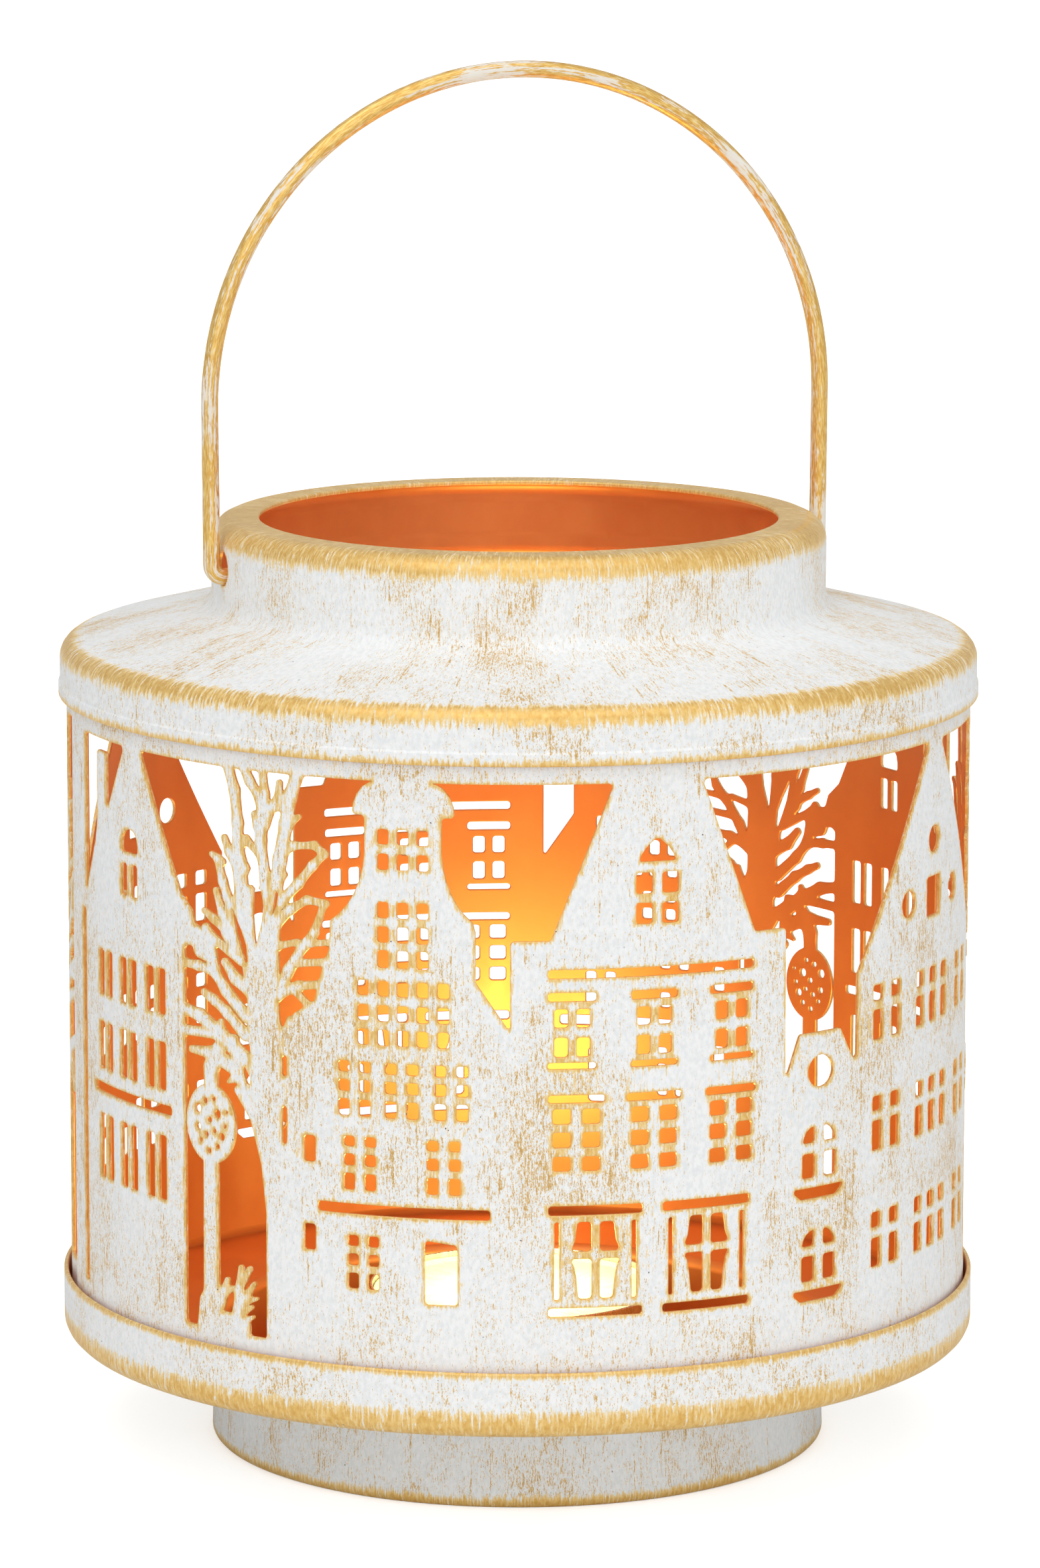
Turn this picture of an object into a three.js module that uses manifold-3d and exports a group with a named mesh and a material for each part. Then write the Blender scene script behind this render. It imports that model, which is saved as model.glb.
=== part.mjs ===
// House lantern: a pierced sheet-metal wall between a pressed lid and base, with a wire bail and a tealight.
// Millimetres, +Z up, the origin at the centre of the foot's underside, the front towards -Y.
import * as THREE from "three";
import { mergeVertices } from "three/addons/utils/BufferGeometryUtils.js";
import Module from "manifold-3d";

const wasm = await Module();
wasm.setup();

// Sheet and fits
const sheet = 0.6; // thickness of every pressed or rolled sheet
const seatGap = 0.3; // clearance where one piece rests on or in another
const pressedFacets = 36; // round the pan and the lid
const tealightFacets = 20;
const holeFacets = 14;
const wickFacets = 10;
const bendSteps = 4; // facets along each bend of the bail
const archSteps = 10; // facets along each half of its arch

// Wall
const wallRadius = 57.3; // outside
const lapInside = 4.6; // width of the lap behind the spot-welded seam

// Base pan with the well that is its foot
const panSideGap = 0.4; // open groove between the wall and the pan's rim
const panRimTop = 22.3;
const panUnderside = 14;
const panEdgeRadius = 2;
const footRadius = 39.4;
const footTopRadius = 38.9;
const footEdgeRadius = 1;

// Lid with its neck
const lidSideGap = 0.4;
const wallInLid = 4.6; // how far the wall goes up inside the skirt
const skirtBottom = 96.6;
const skirtHeight = 6.6; // up to where the shoulder's slope would meet the skirt
const shoulderSlope = THREE.MathUtils.degToRad(14);
const shoulderEdgeRadius = 2.45;
const neckRadius = 38.9;
const neckRootRadius = 2.2;
const neckTop = 118.85;
const neckRimRadius = 2.6;
const mouthRadius = 32.8;

// Bail of round wire
const wireRadius = 1.07;
const bailTurn = THREE.MathUtils.degToRad(18); // the pivot line, turned from the X axis
const bailHoleRadius = 2.2;
const bailHoleBelowTop = 5.15;
const bailPlay = 0.1; // clearance under the wire in its hole
const bailSideGap = 0.3; // leg to neck
const bailBend = 1.5; // bend of each end, on the wire's centre line
const bailEndInside = 3.4; // length of each end inside the neck
const archHalfWidth = 40.4;
const legRise = 21.3; // from the pivot line up to where the legs turn into the arch
const archRise = 41.1;

// Tealight
const cupRadius = 19;
const cupHeight = 18.1;
const cupWall = 0.3;
const cupEdgeRadius = 1.2;
const waxGap = 0.15;
const waxBelowRim = 1.1;
const waxEdgeRise = 0.4; // the wax climbs this much at the cup, over three times that width
const waxDip = 0.3; // lower at the wick
const wickRadius = 0.75;
const wickAboveWax = 6;
const tabRadius = 6.2;
const tabThickness = 0.3;
const tabCollarRadius = 1.5;
const tabCollarHeight = 2.6;

// The street: a drawing that is cut out of the flat sheet twice, side by side. It has units of its own, x to
// the right of the front and h up from the foot line, and is spread over the room that the sheet has.
const drawn = new THREE.Vector2(177.5, 70.7); // its length, and its height up to the eaves line, in its units
const drawnStart = -72.5; // its left end
const drawnTop = drawn.y;
const seamStrip = 5; // plain sheet between the second street's end and the first one's start
const footBand = 1.55; // plain sheet above the pan's rim
const eavesBand = 2.3; // plain sheet under the lid's skirt
const cutterReach = 6; // how far a cutter goes to each side of the sheet's outside
const growthReach = 8; // the same for what is taken out of a cutter, so that it is left standing
const facetLines = [
  -72.2, -63.4, -54.1, -46.8, -35.8, -24.3, -14.75, -5.6, 2.9, 12.9, 20.3, 30, 35, 44.3, 52.5, 61.8, 71, 79.6,
  88.4, 96.9,
]; // where the facets of the rolled sheet meet along a street, mostly between two columns of panes

const streetTurn = Math.PI - seamStrip / (2 * wallRadius);
const turnPerUnit = streetTurn / drawn.x;
const footLine = panRimTop + footBand;
const eavesLine = skirtBottom - eavesBand;
const heightPerUnit = (eavesLine - footLine) / drawn.y;

// A three.js geometry as a solid that can be joined and cut.
function solidOf(geometry) {
  const bare = geometry.index ? geometry.toNonIndexed() : geometry.clone();
  bare.deleteAttribute("normal");
  bare.deleteAttribute("uv");
  const merged = mergeVertices(bare, 1e-4);
  return new wasm.Manifold(
    new wasm.Mesh({
      numProp: 3,
      vertProperties: merged.attributes.position.array,
      triVerts: new Uint32Array(merged.index.array),
    }),
  );
}

function geometryOf(solid) {
  const mesh = solid.getMesh();
  const geometry = new THREE.BufferGeometry();
  geometry.setAttribute("position", new THREE.BufferAttribute(mesh.vertProperties, 3));
  geometry.setIndex(new THREE.BufferAttribute(mesh.triVerts, 1));
  const flat = geometry.toNonIndexed();
  flat.computeVertexNormals();
  return flat;
}

// Turns a closed profile of [radius, height] points, clockwise round its area, about the Z axis.
function turned(profile, segments) {
  const points = profile.map(([r, z]) => new THREE.Vector2(r, z));
  return new THREE.LatheGeometry(points, segments).rotateX(Math.PI / 2);
}

// Moves a line of corners sideways to its left by a distance.
function offsetCorners(corners, distance) {
  const normals = corners.slice(1).map(([x, y], i) => {
    const length = Math.hypot(x - corners[i][0], y - corners[i][1]);
    return [-(y - corners[i][1]) / length, (x - corners[i][0]) / length];
  });
  return corners.map(([x, y], i) => {
    const before = normals[Math.max(i - 1, 0)];
    const after = normals[Math.min(i, normals.length - 1)];
    const share = distance / (1 + before[0] * after[0] + before[1] * after[1]);
    return [x + (before[0] + after[0]) * share, y + (before[1] + after[1]) * share];
  });
}

// Rounds the inner corners of a line: radii[i] belongs to corner i + 1, and 0 leaves it sharp.
function filletedLine(corners, radii, arcSteps) {
  const line = [corners[0]];
  radii.forEach((radius, i) => {
    if (radius === 0) {
      line.push(corners[i + 1]);
      return;
    }
    const at = new THREE.Vector2(...corners[i + 1]);
    const back = new THREE.Vector2(...corners[i]).sub(at).normalize();
    const on = new THREE.Vector2(...corners[i + 2]).sub(at).normalize();
    const half = Math.acos(THREE.MathUtils.clamp(back.dot(on), -1, 1)) / 2;
    const middle = back.clone().add(on).normalize();
    const centre = at.clone().addScaledVector(middle, radius / Math.sin(half));
    const from = at.clone().addScaledVector(back, radius / Math.tan(half)).sub(centre);
    const to = at.clone().addScaledVector(on, radius / Math.tan(half)).sub(centre);
    const sweep = Math.atan2(from.cross(to), from.dot(to));
    for (let k = 0; k <= arcSteps; k++) {
      const turn = from.clone().rotateAround(new THREE.Vector2(), (sweep * k) / arcSteps);
      line.push([centre.x + turn.x, centre.y + turn.y]);
    }
  });
  line.push(corners[corners.length - 1]);
  return line;
}

// A pressed shell: the outside line is given, with the inside of the piece on its left.
function shellProfile(corners, radii, thickness, arcSteps) {
  const turns = radii.map((radius, i) => {
    const [a, b, c] = corners.slice(i, i + 3);
    return Math.sign((b[0] - a[0]) * (c[1] - b[1]) - (b[1] - a[1]) * (c[0] - b[0]));
  });
  const inner = offsetCorners(corners, thickness);
  if (corners[0][0] === 0) inner[0][0] = 0;
  const innerRadii = radii.map((radius, i) => radius && Math.max(radius - turns[i] * thickness, 0));
  const outside = filletedLine(corners, radii, arcSteps);
  const inside = filletedLine(inner, innerRadii, arcSteps).reverse();
  const profile = [...outside, ...inside];
  if (corners[0][0] !== 0) profile.push(outside[0]);
  return profile;
}

// Outlines of the street drawing.
const rect = (x0, h0, x1, h1) => [[x0, h0], [x1, h0], [x1, h1], [x0, h1]];
const centred = (x, width, h0, h1) => rect(x - width / 2, h0, x + width / 2, h1);

function arcPoints(x, h, rx, rh, from, to, steps) {
  return Array.from({ length: steps + 1 }, (_, i) => {
    const angle = THREE.MathUtils.degToRad(from + ((to - from) * i) / steps);
    return [x + rx * Math.cos(angle), h + rh * Math.sin(angle)];
  });
}

const disc = (x, h, rx, rh, steps) => arcPoints(x, h, rx, rh, 0, 360 - 360 / steps, steps - 1);

// Panes in columns and rows; rows are [bottom, top].
function panes(columns, width, rows) {
  return columns.flatMap((x) => rows.map(([low, high]) => centred(x, width, low, high)));
}

// Gap between the border post and the first gable, with the chimney standing in it.
function chimneyGap() {
  return [
    [-70.3, 50.4], [-66, 58.4], [-65.8, 69.2], [-63.7, 69.2], [-63.5, 61.4],
    [-57.7, drawnTop], [-70.3, drawnTop],
  ];
}

function warehouse() {
  const bays = [-63.4, -57.2, -51];
  const slots = bays.flatMap((x) => [x - 1.2, x + 1.2]);
  return [
    rect(-71.9, 0.2, -70.3, 48.2),
    [...arcPoints(-56.8, 58.6, 2.1, 1.9, 0, 180, 4), [-58.9, 57.5], [-54.7, 57.5]],
    ...panes([-58, -55.6], 1.6, [[52, 56.1]]),
    ...panes(slots, 1.7, [[38.3, 44.1], [28.8, 34.9], [14.9, 23.1]]),
    rect(-67.2, 25.8, -47.9, 27),
  ];
}

function bellGableHouse() {
  const middle = -14;
  const threeBays = [middle - 2.45, middle, middle + 2.45];
  const fiveBays = [middle - 5, ...threeBays, middle + 5];
  const pairs = [-20.15, -14.15, -8.05].flatMap((x) => [x - 1.35, x + 1.35]);
  return [
    ...panes(threeBays, 1.4, [[59.9, 61.9], [63, 64.9], [47.9, 50.1], [51, 53], [54, 56]]),
    ...panes(fiveBays, 1.4, [[38.3, 41.8], [42.9, 46.3]]),
    ...panes(pairs, 1.4, [[29.5, 32.9], [33.9, 36.2]]),
    ...panes([-20.8, -18.1, -10.3, -7.6], 1.4, [[20.2, 23.8], [24.8, 26.9]]),
    ...panes([-20.3, -17.7], 1.35, [[7.9, 11.4], [12.4, 14.6]]),
    rect(-25, 17.3, -3.2, 18.5),
    [[-11.3, 6.5], [-7.3, 6.5], [-7.3, 13.6], [-7.8, 14.5], [-10.8, 14.5], [-11.3, 13.6]],
    ...panes([-26.1], 1.6, [[12, 15.4], [23.3, 26.6]]),
    ...panes([-29.6], 0.7, [[25, 29.7], [33.4, 36]]),
  ];
}

// Gap between the bell gable and the merchant's house, down to the notch between their walls.
function gapRightOfBell() {
  return [
    [-0.9, 41], [-0.9, 51.7], [3.9, 51.7], [11.5, drawnTop], [-10.7, drawnTop],
    ...arcPoints(-10.7, 66.7, 2.9, 4, 70, 0, 3),
    [-9.2, 66.2], [-9.2, 61.5],
    ...arcPoints(-1.6, 61.5, 7.6, 9.6, 200, 243, 3),
    [-5.1, 46.5], [-1.3, 40.9],
  ];
}

// A pair of curtained panes on one side of a shop window's middle; side is -1 or 1.
function curtainedPanes(middle, side) {
  const at = (offset, h) => [middle + side * offset, h];
  const upper = [at(0.5, 13.4), at(3, 13.4), at(2.2, 17), at(0.5, 17)];
  const lower = [at(0.5, 7.4), at(2.2, 7.4), at(3, 12.4), at(0.5, 12.4)];
  return side > 0 ? [upper, lower] : [upper.reverse(), lower.reverse()];
}

function merchantHouse() {
  const middle = 17;
  const upperBays = [6.55, 16.7, 26.85];
  const lowerBays = [7.1, 16.7, 26.8];
  const shops = [9.5, 23.65];
  return [
    [[middle - 2.4, 61], [middle + 2.4, 61], [middle + 1.3, 62.8], [middle, 63.7], [middle - 1.3, 62.8]],
    ...panes([middle - 1.65, middle + 1.65], 2.1, [[53.4, 56], [57.1, 59.8]]),
    rect(3.6, 47, 29.9, 48.2),
    ...panes(upperBays, 5.9, [[44.3, 45.4]]),
    ...panes(upperBays.flatMap((x) => [x - 1.35, x + 1.35]), 1.65, [[37.6, 39.7], [41.1, 43.2]]),
    ...panes(lowerBays, 6.9, [[31.8, 32.9]]),
    ...panes(lowerBays.flatMap((x) => [x - 1.8, x + 1.8]), 2.2, [[23.5, 26.9], [28, 31.1]]),
    ...panes(shops, 11.6, [[17.9, 19], [5.3, 6.3]]),
    ...panes(shops.flatMap((x) => [x - 4.75, x + 4.75]), 0.65, [[7.4, 16.9]]),
    ...shops.flatMap((x) => [...curtainedPanes(x, -1), ...curtainedPanes(x, 1)]),
  ];
}

// Wide gap over the small house, from the merchant's house to the long gable.
function gapOverSmallHouse() {
  return [
    [34.9, 33.1], [36.6, 37.8], [43.5, 37.8], [46.5, 32.3], [46.6, 44.3], [62.4, drawnTop],
    [22.8, drawnTop], [30.1, 51.3], [34.5, 51.3], [34.5, 33.1],
  ];
}

function smallHouse() {
  const middle = 40.1;
  const archHalf = (side, spring) => {
    const line = [[0.75, 0], [2.6, 0], [1.9, 1.2], [0.75, 1.9]];
    return line.map(([x, h]) => [middle + side * x, spring + h]);
  };
  const archedWindow = (low, spring) => [
    rect(middle - 2.8, low, middle - 0.75, low + 3.1),
    rect(middle + 0.75, low, middle + 2.8, low + 3.1),
    ...[-1, 1].map((side) => archHalf(side, spring)),
    [[middle - 2.9, low - 2.5], [middle + 2.9, low - 2.5], [middle + 4, low - 1.3], [middle - 4, low - 1.3]],
  ];
  return [disc(40.2, 32.8, 2.1, 2.1, 8), ...archedWindow(19.6, 24), ...archedWindow(6.5, 11)];
}

function longGableHouse() {
  const middle = 64.2;
  const bays = [-13.6, -9.8, -3.75, 0, 3.75, 9.8, 13.6].map((x) => middle + x);
  return [
    disc(middle, 58.2, 1.7, 1.7, 8),
    disc(middle - 6.9, 51.1, 1.7, 1.7, 8),
    disc(middle + 6.9, 51.1, 1.7, 1.7, 8),
    rect(middle - 2.1, 48.6, middle + 2, 53.5),
    ...panes(bays, 1.9, [[6.3, 10.1], [11.4, 13.3], [21.1, 24.9], [26.1, 28.1], [35.1, 38.9], [40.1, 42]]),
  ];
}

// Gardens are cut as a whole and what grows in them is left standing.
function gardenLeftOfBell() {
  return [
    [-45.4, 0.2], [-32.4, 0.2], [-32.4, 16], [-34.2, 26], [-37.5, 31], [-30.3, 31], [-30.3, 38.3],
    [-25.4, 43], [-23.3, 52.6],
    ...arcPoints(-26.4, 61.5, 7.6, 9.6, -63, 0, 3),
    [-18.9, 66.2],
    ...arcPoints(-17.3, 66.7, 2.9, 4, 180, 110, 2),
    [-17.3, drawnTop], [-54.1, drawnTop], [-46.1, 54.2], [-42, 50], [-45.4, 46.5],
  ];
}

function gardenLeftOfSeam() {
  return [[82.2, 0.2], [103.3, 0.2], [103.3, drawnTop], [66.7, drawnTop], [82.2, 44.3]];
}

// A limb along a line of points, tapering from one width to another.
function branch(points, width0, width1) {
  const widthAt = (i) => width0 + ((width1 - width0) * i) / (points.length - 1);
  const side = (sign) => {
    const shifted = offsetCorners(points, sign / 2);
    return points.map(([x, h], i) => {
      const [sx, sh] = shifted[i];
      return [x + (sx - x) * widthAt(i), h + (sh - h) * widthAt(i)];
    });
  };
  return [...side(1), ...side(-1).reverse()];
}

// The limbs that fan out from a fork to the eaves line and to both sides; side -1 mirrors them.
function treeCrown(x, fork, side) {
  const top = drawnTop + 1;
  const from = (points, ...widths) => branch(points.map(([dx, h]) => [x + side * dx, h]), ...widths);
  return [
    from([[1.2, fork - 4], [5, top]], 3.6, 1.3),
    from([[0, fork - 3], [-0.2, top]], 3.4, 1.2),
    from([[-1, fork - 4], [-5.4, top]], 3.6, 1.2),
    from([[2.6, fork + 4], [6.2, fork + 10], [7, fork + 15]], 2, 0.9),
    from([[-2.2, fork + 2], [-5.6, fork + 10], [-9.4, fork + 11.4]], 2.4, 1.1),
  ];
}

// The garden tree reaches over to both houses; a clipped ball stands on a stem, with a low shrub beside it.
function gardenGrowth() {
  const trunk = -33.2;
  const fork = 49.5;
  const ball = [-41, 26];
  return [
    [[-31, 14], [-38.4, 30.5], [-36.4, 37], [-35.6, fork], [trunk, fork + 3], [-30.4, fork], [-29.9, 30]],
    ...treeCrown(trunk, fork, -1),
    branch([[-31, 38], [-28, 49.4], [-24, 54]], 3, 1.2),
    branch([[-35.4, 40], [-38.6, 46.6], [-40, 53.4]], 2.8, 1.1),
    branch([[-35, 33], [-46, 43.4]], 3.2, 1.5),
    branch([[-36, 32], [-46, 35.6]], 3.4, 1.4),
    disc(...ball, 4.1, 5, 10),
    branch([[ball[0], -0.5], [ball[0], ball[1]]], 3, 2.4),
    branch([ball, [-40, 36]], 2.6, 2.4),
    branch([[-36.8, -0.5], [-36.8, 9.4]], 4.8, 0.9),
  ];
}

function seamGrowth() {
  const trunk = 92.6;
  const fork = 46;
  const left = 81.6;
  const right = 103.8;
  return [
    branch([[trunk, -0.5], [trunk, fork + 2]], 8, 5),
    ...treeCrown(trunk, fork, 1),
    branch([[trunk, 30], [right, 44]], 3.4, 1.5),
    branch([[trunk, 23], [right, 31]], 3.2, 1.5),
    branch([[trunk, 31], [left, 41]], 3.2, 1.5),
    branch([[trunk, 22], [left, 29]], 3, 1.5),
  ];
}

// The direction from the axis through a place along the sheet.
const directionAt = (x) => {
  const angle = x * turnPerUnit;
  return [Math.sin(angle), -Math.cos(angle)];
};

// A straight prism over an outline of the street, square to the sheet at the outline's middle.
function prismThrough(outline, shift, reach) {
  const contour = outline.map(([x, h]) => new THREE.Vector2(x + shift, h));
  if (THREE.ShapeUtils.area(contour) < 0) contour.reverse();
  const span = new THREE.Box2().setFromPoints(contour);
  const [outX, outY] = directionAt((span.min.x + span.max.x) / 2);
  const cap = (offset) => contour.flatMap((p) => {
    const [x, y] = directionAt(p.x);
    return [wallRadius * x + offset * outX, wallRadius * y + offset * outY, footLine + p.y * heightPerUnit];
  });
  const n = contour.length;
  const faces = THREE.ShapeUtils.triangulateShape(contour, []);
  const triangles = faces.flatMap(([a, b, c]) => [a, c, b, a + n, b + n, c + n]);
  for (let i = 0; i < n; i++) {
    const j = (i + 1) % n;
    triangles.push(i, j, j + n, i, j + n, i + n);
  }
  const geometry = new THREE.BufferGeometry();
  const corners = new Float32Array([...cap(-reach), ...cap(reach)]);
  geometry.setAttribute("position", new THREE.BufferAttribute(corners, 3));
  geometry.setIndex(triangles);
  return solidOf(geometry);
}

const joined = (solids) => wasm.Manifold.union(solids);

function streetCutter(shift) {
  const prisms = (outlines, reach = cutterReach) => outlines.map((line) => prismThrough(line, shift, reach));
  const growth = joined(prisms([...gardenGrowth(), ...seamGrowth()], growthReach));
  const gardens = joined(prisms([gardenLeftOfBell(), gardenLeftOfSeam()])).subtract(growth);
  const cuts = [
    chimneyGap(), ...warehouse(), ...bellGableHouse(), gapRightOfBell(), ...merchantHouse(),
    gapOverSmallHouse(), ...smallHouse(), ...longGableHouse(),
  ];
  return joined([gardens, ...prisms(cuts)]);
}

// The rolled sheet, flat between its facet lines.
function rolledSheet(low, high) {
  const lines = [0, drawn.x].flatMap((shift) => facetLines.map((x) => x + shift));
  lines.push(drawnStart + 2 * drawn.x);
  const ring = (radius) => lines.map((x) => new THREE.Vector2(...directionAt(x)).multiplyScalar(radius));
  const section = new THREE.Shape(ring(wallRadius));
  section.holes.push(new THREE.Path(ring(wallRadius - sheet)));
  const rolled = new THREE.ExtrudeGeometry(section, { depth: high - low, bevelEnabled: false });
  return solidOf(rolled.translate(0, 0, low));
}

function wallGeometry() {
  const low = panUnderside + panEdgeRadius - seatGap;
  const high = skirtBottom + wallInLid;
  const inside = wallRadius - sheet;
  const lapTurn = lapInside / wallRadius;
  const lapCentre = drawnStart * turnPerUnit - seamStrip / (2 * wallRadius);
  const deep = inside - sheet;
  const shallow = inside + sheet / 2;
  const lapPoints = [[deep, low], [shallow, low], [shallow, high], [deep, high]];
  const lap = lapPrism(lapPoints, lapCentre - lapTurn / 2, lapCentre + lapTurn / 2);
  const cutters = joined([streetCutter(0), streetCutter(drawn.x)]);
  return geometryOf(rolledSheet(low, high).add(lap).subtract(cutters));
}

// A flat strip of the lap: a section of [radius, height] points carried between two angles.
function lapPrism(section, from, to) {
  const at = (angle) => section.flatMap(([r, z]) => [r * Math.sin(angle), -r * Math.cos(angle), z]);
  const triangles = [0, 1, 2, 0, 2, 3, 4, 6, 5, 4, 7, 6];
  for (let i = 0; i < 4; i++) {
    const j = (i + 1) % 4;
    triangles.push(i, j + 4, j, i, i + 4, j + 4);
  }
  const geometry = new THREE.BufferGeometry();
  geometry.setAttribute("position", new THREE.BufferAttribute(new Float32Array([...at(from), ...at(to)]), 3));
  geometry.setIndex(triangles);
  return solidOf(geometry);
}

const panRadius = wallRadius + panSideGap + sheet;
const skirtRadius = wallRadius + lidSideGap + sheet;

function panGeometry() {
  const corners = [
    [0, 0], [footRadius, 0], [footTopRadius, panUnderside], [panRadius, panUnderside], [panRadius, panRimTop],
  ];
  const profile = shellProfile(corners, [footEdgeRadius, 0, panEdgeRadius], sheet, 2);
  return geometryOf(solidOf(turned(profile, pressedFacets)));
}

function lidGeometry() {
  const edge = skirtBottom + skirtHeight;
  const root = edge + (skirtRadius - neckRadius) * Math.tan(shoulderSlope);
  const corners = [
    [skirtRadius, skirtBottom], [skirtRadius, edge], [neckRadius, root], [neckRadius, neckTop],
    [mouthRadius, neckTop],
  ];
  const profile = shellProfile(corners, [shoulderEdgeRadius, neckRootRadius, neckRimRadius], sheet, 2);
  const drill = new THREE.CylinderGeometry(bailHoleRadius, bailHoleRadius, 3 * neckRadius, holeFacets);
  drill.rotateZ(Math.PI / 2 + bailTurn).translate(0, 0, neckTop - bailHoleBelowTop);
  return geometryOf(solidOf(turned(profile, pressedFacets)).subtract(solidOf(drill)));
}

const bailAxisHeight = neckTop - bailHoleBelowTop - bailHoleRadius + bailPlay + wireRadius;

// Centre line of the bail in its own plane: in through one ear, up a leg, over the arch and down again.
class BailLine extends THREE.Curve {
  constructor() {
    super();
    const legAt = neckRadius + bailSideGap + wireRadius;
    const endAt = neckRadius - sheet - bailEndInside;
    const half = [new THREE.Vector2(endAt, 0), new THREE.Vector2(legAt - bailBend, 0)];
    for (let i = 1; i <= bendSteps; i++) {
      const angle = ((i / bendSteps - 1) * Math.PI) / 2;
      const x = legAt - bailBend + bailBend * Math.cos(angle);
      half.push(new THREE.Vector2(x, bailBend * (1 + Math.sin(angle))));
    }
    for (let i = 0; i <= archSteps; i++) {
      const angle = ((i / archSteps) * Math.PI) / 2;
      half.push(new THREE.Vector2(archHalfWidth * Math.cos(angle), legRise + archRise * Math.sin(angle)));
    }
    const other = half.slice(0, -1).reverse().map((p) => new THREE.Vector2(-p.x, p.y));
    this.points = [...half, ...other];
  }
  getPoint(t, target = new THREE.Vector3()) {
    const place = t * (this.points.length - 1);
    const i = Math.min(Math.floor(place), this.points.length - 2);
    const at = this.points[i].clone().lerp(this.points[i + 1], place - i);
    return target.set(at.x, 0, at.y);
  }
  getPointAt(t, target) {
    return this.getPoint(t, target);
  }
  getTangentAt(t) {
    const step = 0.25 / (this.points.length - 1);
    const back = this.getPoint(Math.max(t - step, 0));
    return this.getPoint(Math.min(t + step, 1)).sub(back).normalize();
  }
}

function bailGeometry() {
  const line = new BailLine();
  const section = new THREE.Shape();
  section.absarc(0, 0, wireRadius, 0, 2 * Math.PI);
  const steps = line.points.length - 1;
  const settings = { steps, curveSegments: 4, bevelEnabled: false, extrudePath: line };
  return geometryOf(solidOf(new THREE.ExtrudeGeometry(section, settings)));
}

function cupGeometry() {
  const corners = [[0, 0], [cupRadius, 0], [cupRadius, cupHeight]];
  return geometryOf(solidOf(turned(shellProfile(corners, [cupEdgeRadius], cupWall, 2), tealightFacets)));
}

function waxGeometry() {
  const radius = cupRadius - cupWall - waxGap;
  const low = cupWall + waxGap;
  const high = cupHeight - waxBelowRim;
  const tabTop = low + tabThickness + 2 * waxGap;
  const collarTop = tabTop + tabCollarHeight;
  const profile = [
    [tabRadius + waxGap, low], [radius - cupEdgeRadius, low], [radius, low + cupEdgeRadius],
    [radius, high + waxEdgeRise], [radius - 3 * waxEdgeRise, high], [wickRadius + waxGap, high - waxDip],
    [wickRadius + waxGap, collarTop],
    [tabCollarRadius + waxGap, collarTop], [tabCollarRadius + waxGap, tabTop], [tabRadius + waxGap, tabTop],
    [tabRadius + waxGap, low],
  ];
  return geometryOf(solidOf(turned(profile, tealightFacets)));
}

function wickGeometry() {
  const low = cupWall + 2 * waxGap + tabThickness;
  const length = cupHeight - waxBelowRim + wickAboveWax - low;
  const wick = new THREE.CylinderGeometry(wickRadius, wickRadius, length, wickFacets);
  wick.rotateX(Math.PI / 2).translate(0, 0, low + length / 2);
  return geometryOf(solidOf(wick));
}

function tabGeometry() {
  const low = cupWall + waxGap;
  const top = low + tabThickness;
  const bore = wickRadius + waxGap / 2;
  const profile = [
    [0, low], [tabRadius, low], [tabRadius, top - waxGap], [tabCollarRadius, top - waxGap],
    [tabCollarRadius, top + tabCollarHeight], [bore, top + tabCollarHeight], [bore, top], [0, top],
  ];
  return geometryOf(solidOf(turned(profile, tealightFacets / 2)));
}

const finishes = {
  paint: new THREE.MeshStandardMaterial({ color: 0xe9e6df, roughness: 0.6, metalness: 0.2 }),
  wire: new THREE.MeshStandardMaterial({ color: 0xd8bd83, roughness: 0.45, metalness: 0.6 }),
  aluminium: new THREE.MeshStandardMaterial({ color: 0xc9cacc, roughness: 0.3, metalness: 1 }),
  wax: new THREE.MeshStandardMaterial({ color: 0xf7efd8, roughness: 0.4, metalness: 0 }),
  cotton: new THREE.MeshStandardMaterial({ color: 0x6d655a, roughness: 0.9, metalness: 0 }),
};

function named(name, geometry, finish) {
  const mesh = new THREE.Mesh(geometry, finish.clone());
  mesh.name = name;
  return mesh;
}

const lantern = new THREE.Group();
lantern.add(named("base_pan", panGeometry(), finishes.paint));
lantern.add(named("pierced_wall", wallGeometry(), finishes.paint));
lantern.add(named("neck_lid", lidGeometry(), finishes.paint));

const bail = new THREE.Group();
bail.position.z = bailAxisHeight;
bail.rotation.z = bailTurn;
bail.add(named("wire_bail", bailGeometry(), finishes.wire));
lantern.add(bail);

const tealight = new THREE.Group();
tealight.position.z = sheet + seatGap;
tealight.add(named("tealight_cup", cupGeometry(), finishes.aluminium));
tealight.add(named("tealight_wax", waxGeometry(), finishes.wax));
tealight.add(named("wick", wickGeometry(), finishes.cotton));
tealight.add(named("wick_tab", tabGeometry(), finishes.aluminium));
lantern.add(tealight);

export default lantern;
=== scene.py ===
import math

import bpy
import numpy as np
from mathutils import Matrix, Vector, geometry


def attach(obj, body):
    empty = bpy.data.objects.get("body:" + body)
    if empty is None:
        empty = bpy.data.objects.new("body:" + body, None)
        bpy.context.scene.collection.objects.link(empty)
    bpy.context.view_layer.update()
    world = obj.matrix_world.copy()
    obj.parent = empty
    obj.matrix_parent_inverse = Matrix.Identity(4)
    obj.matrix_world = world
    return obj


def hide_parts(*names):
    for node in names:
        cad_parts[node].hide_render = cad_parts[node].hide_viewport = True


# House lantern: pierced wall, pressed lid and base, wire bail, lit tealight.
# In the dictionaries, lengths are in millimetres, heights are above the table and angles are in degrees.

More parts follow.
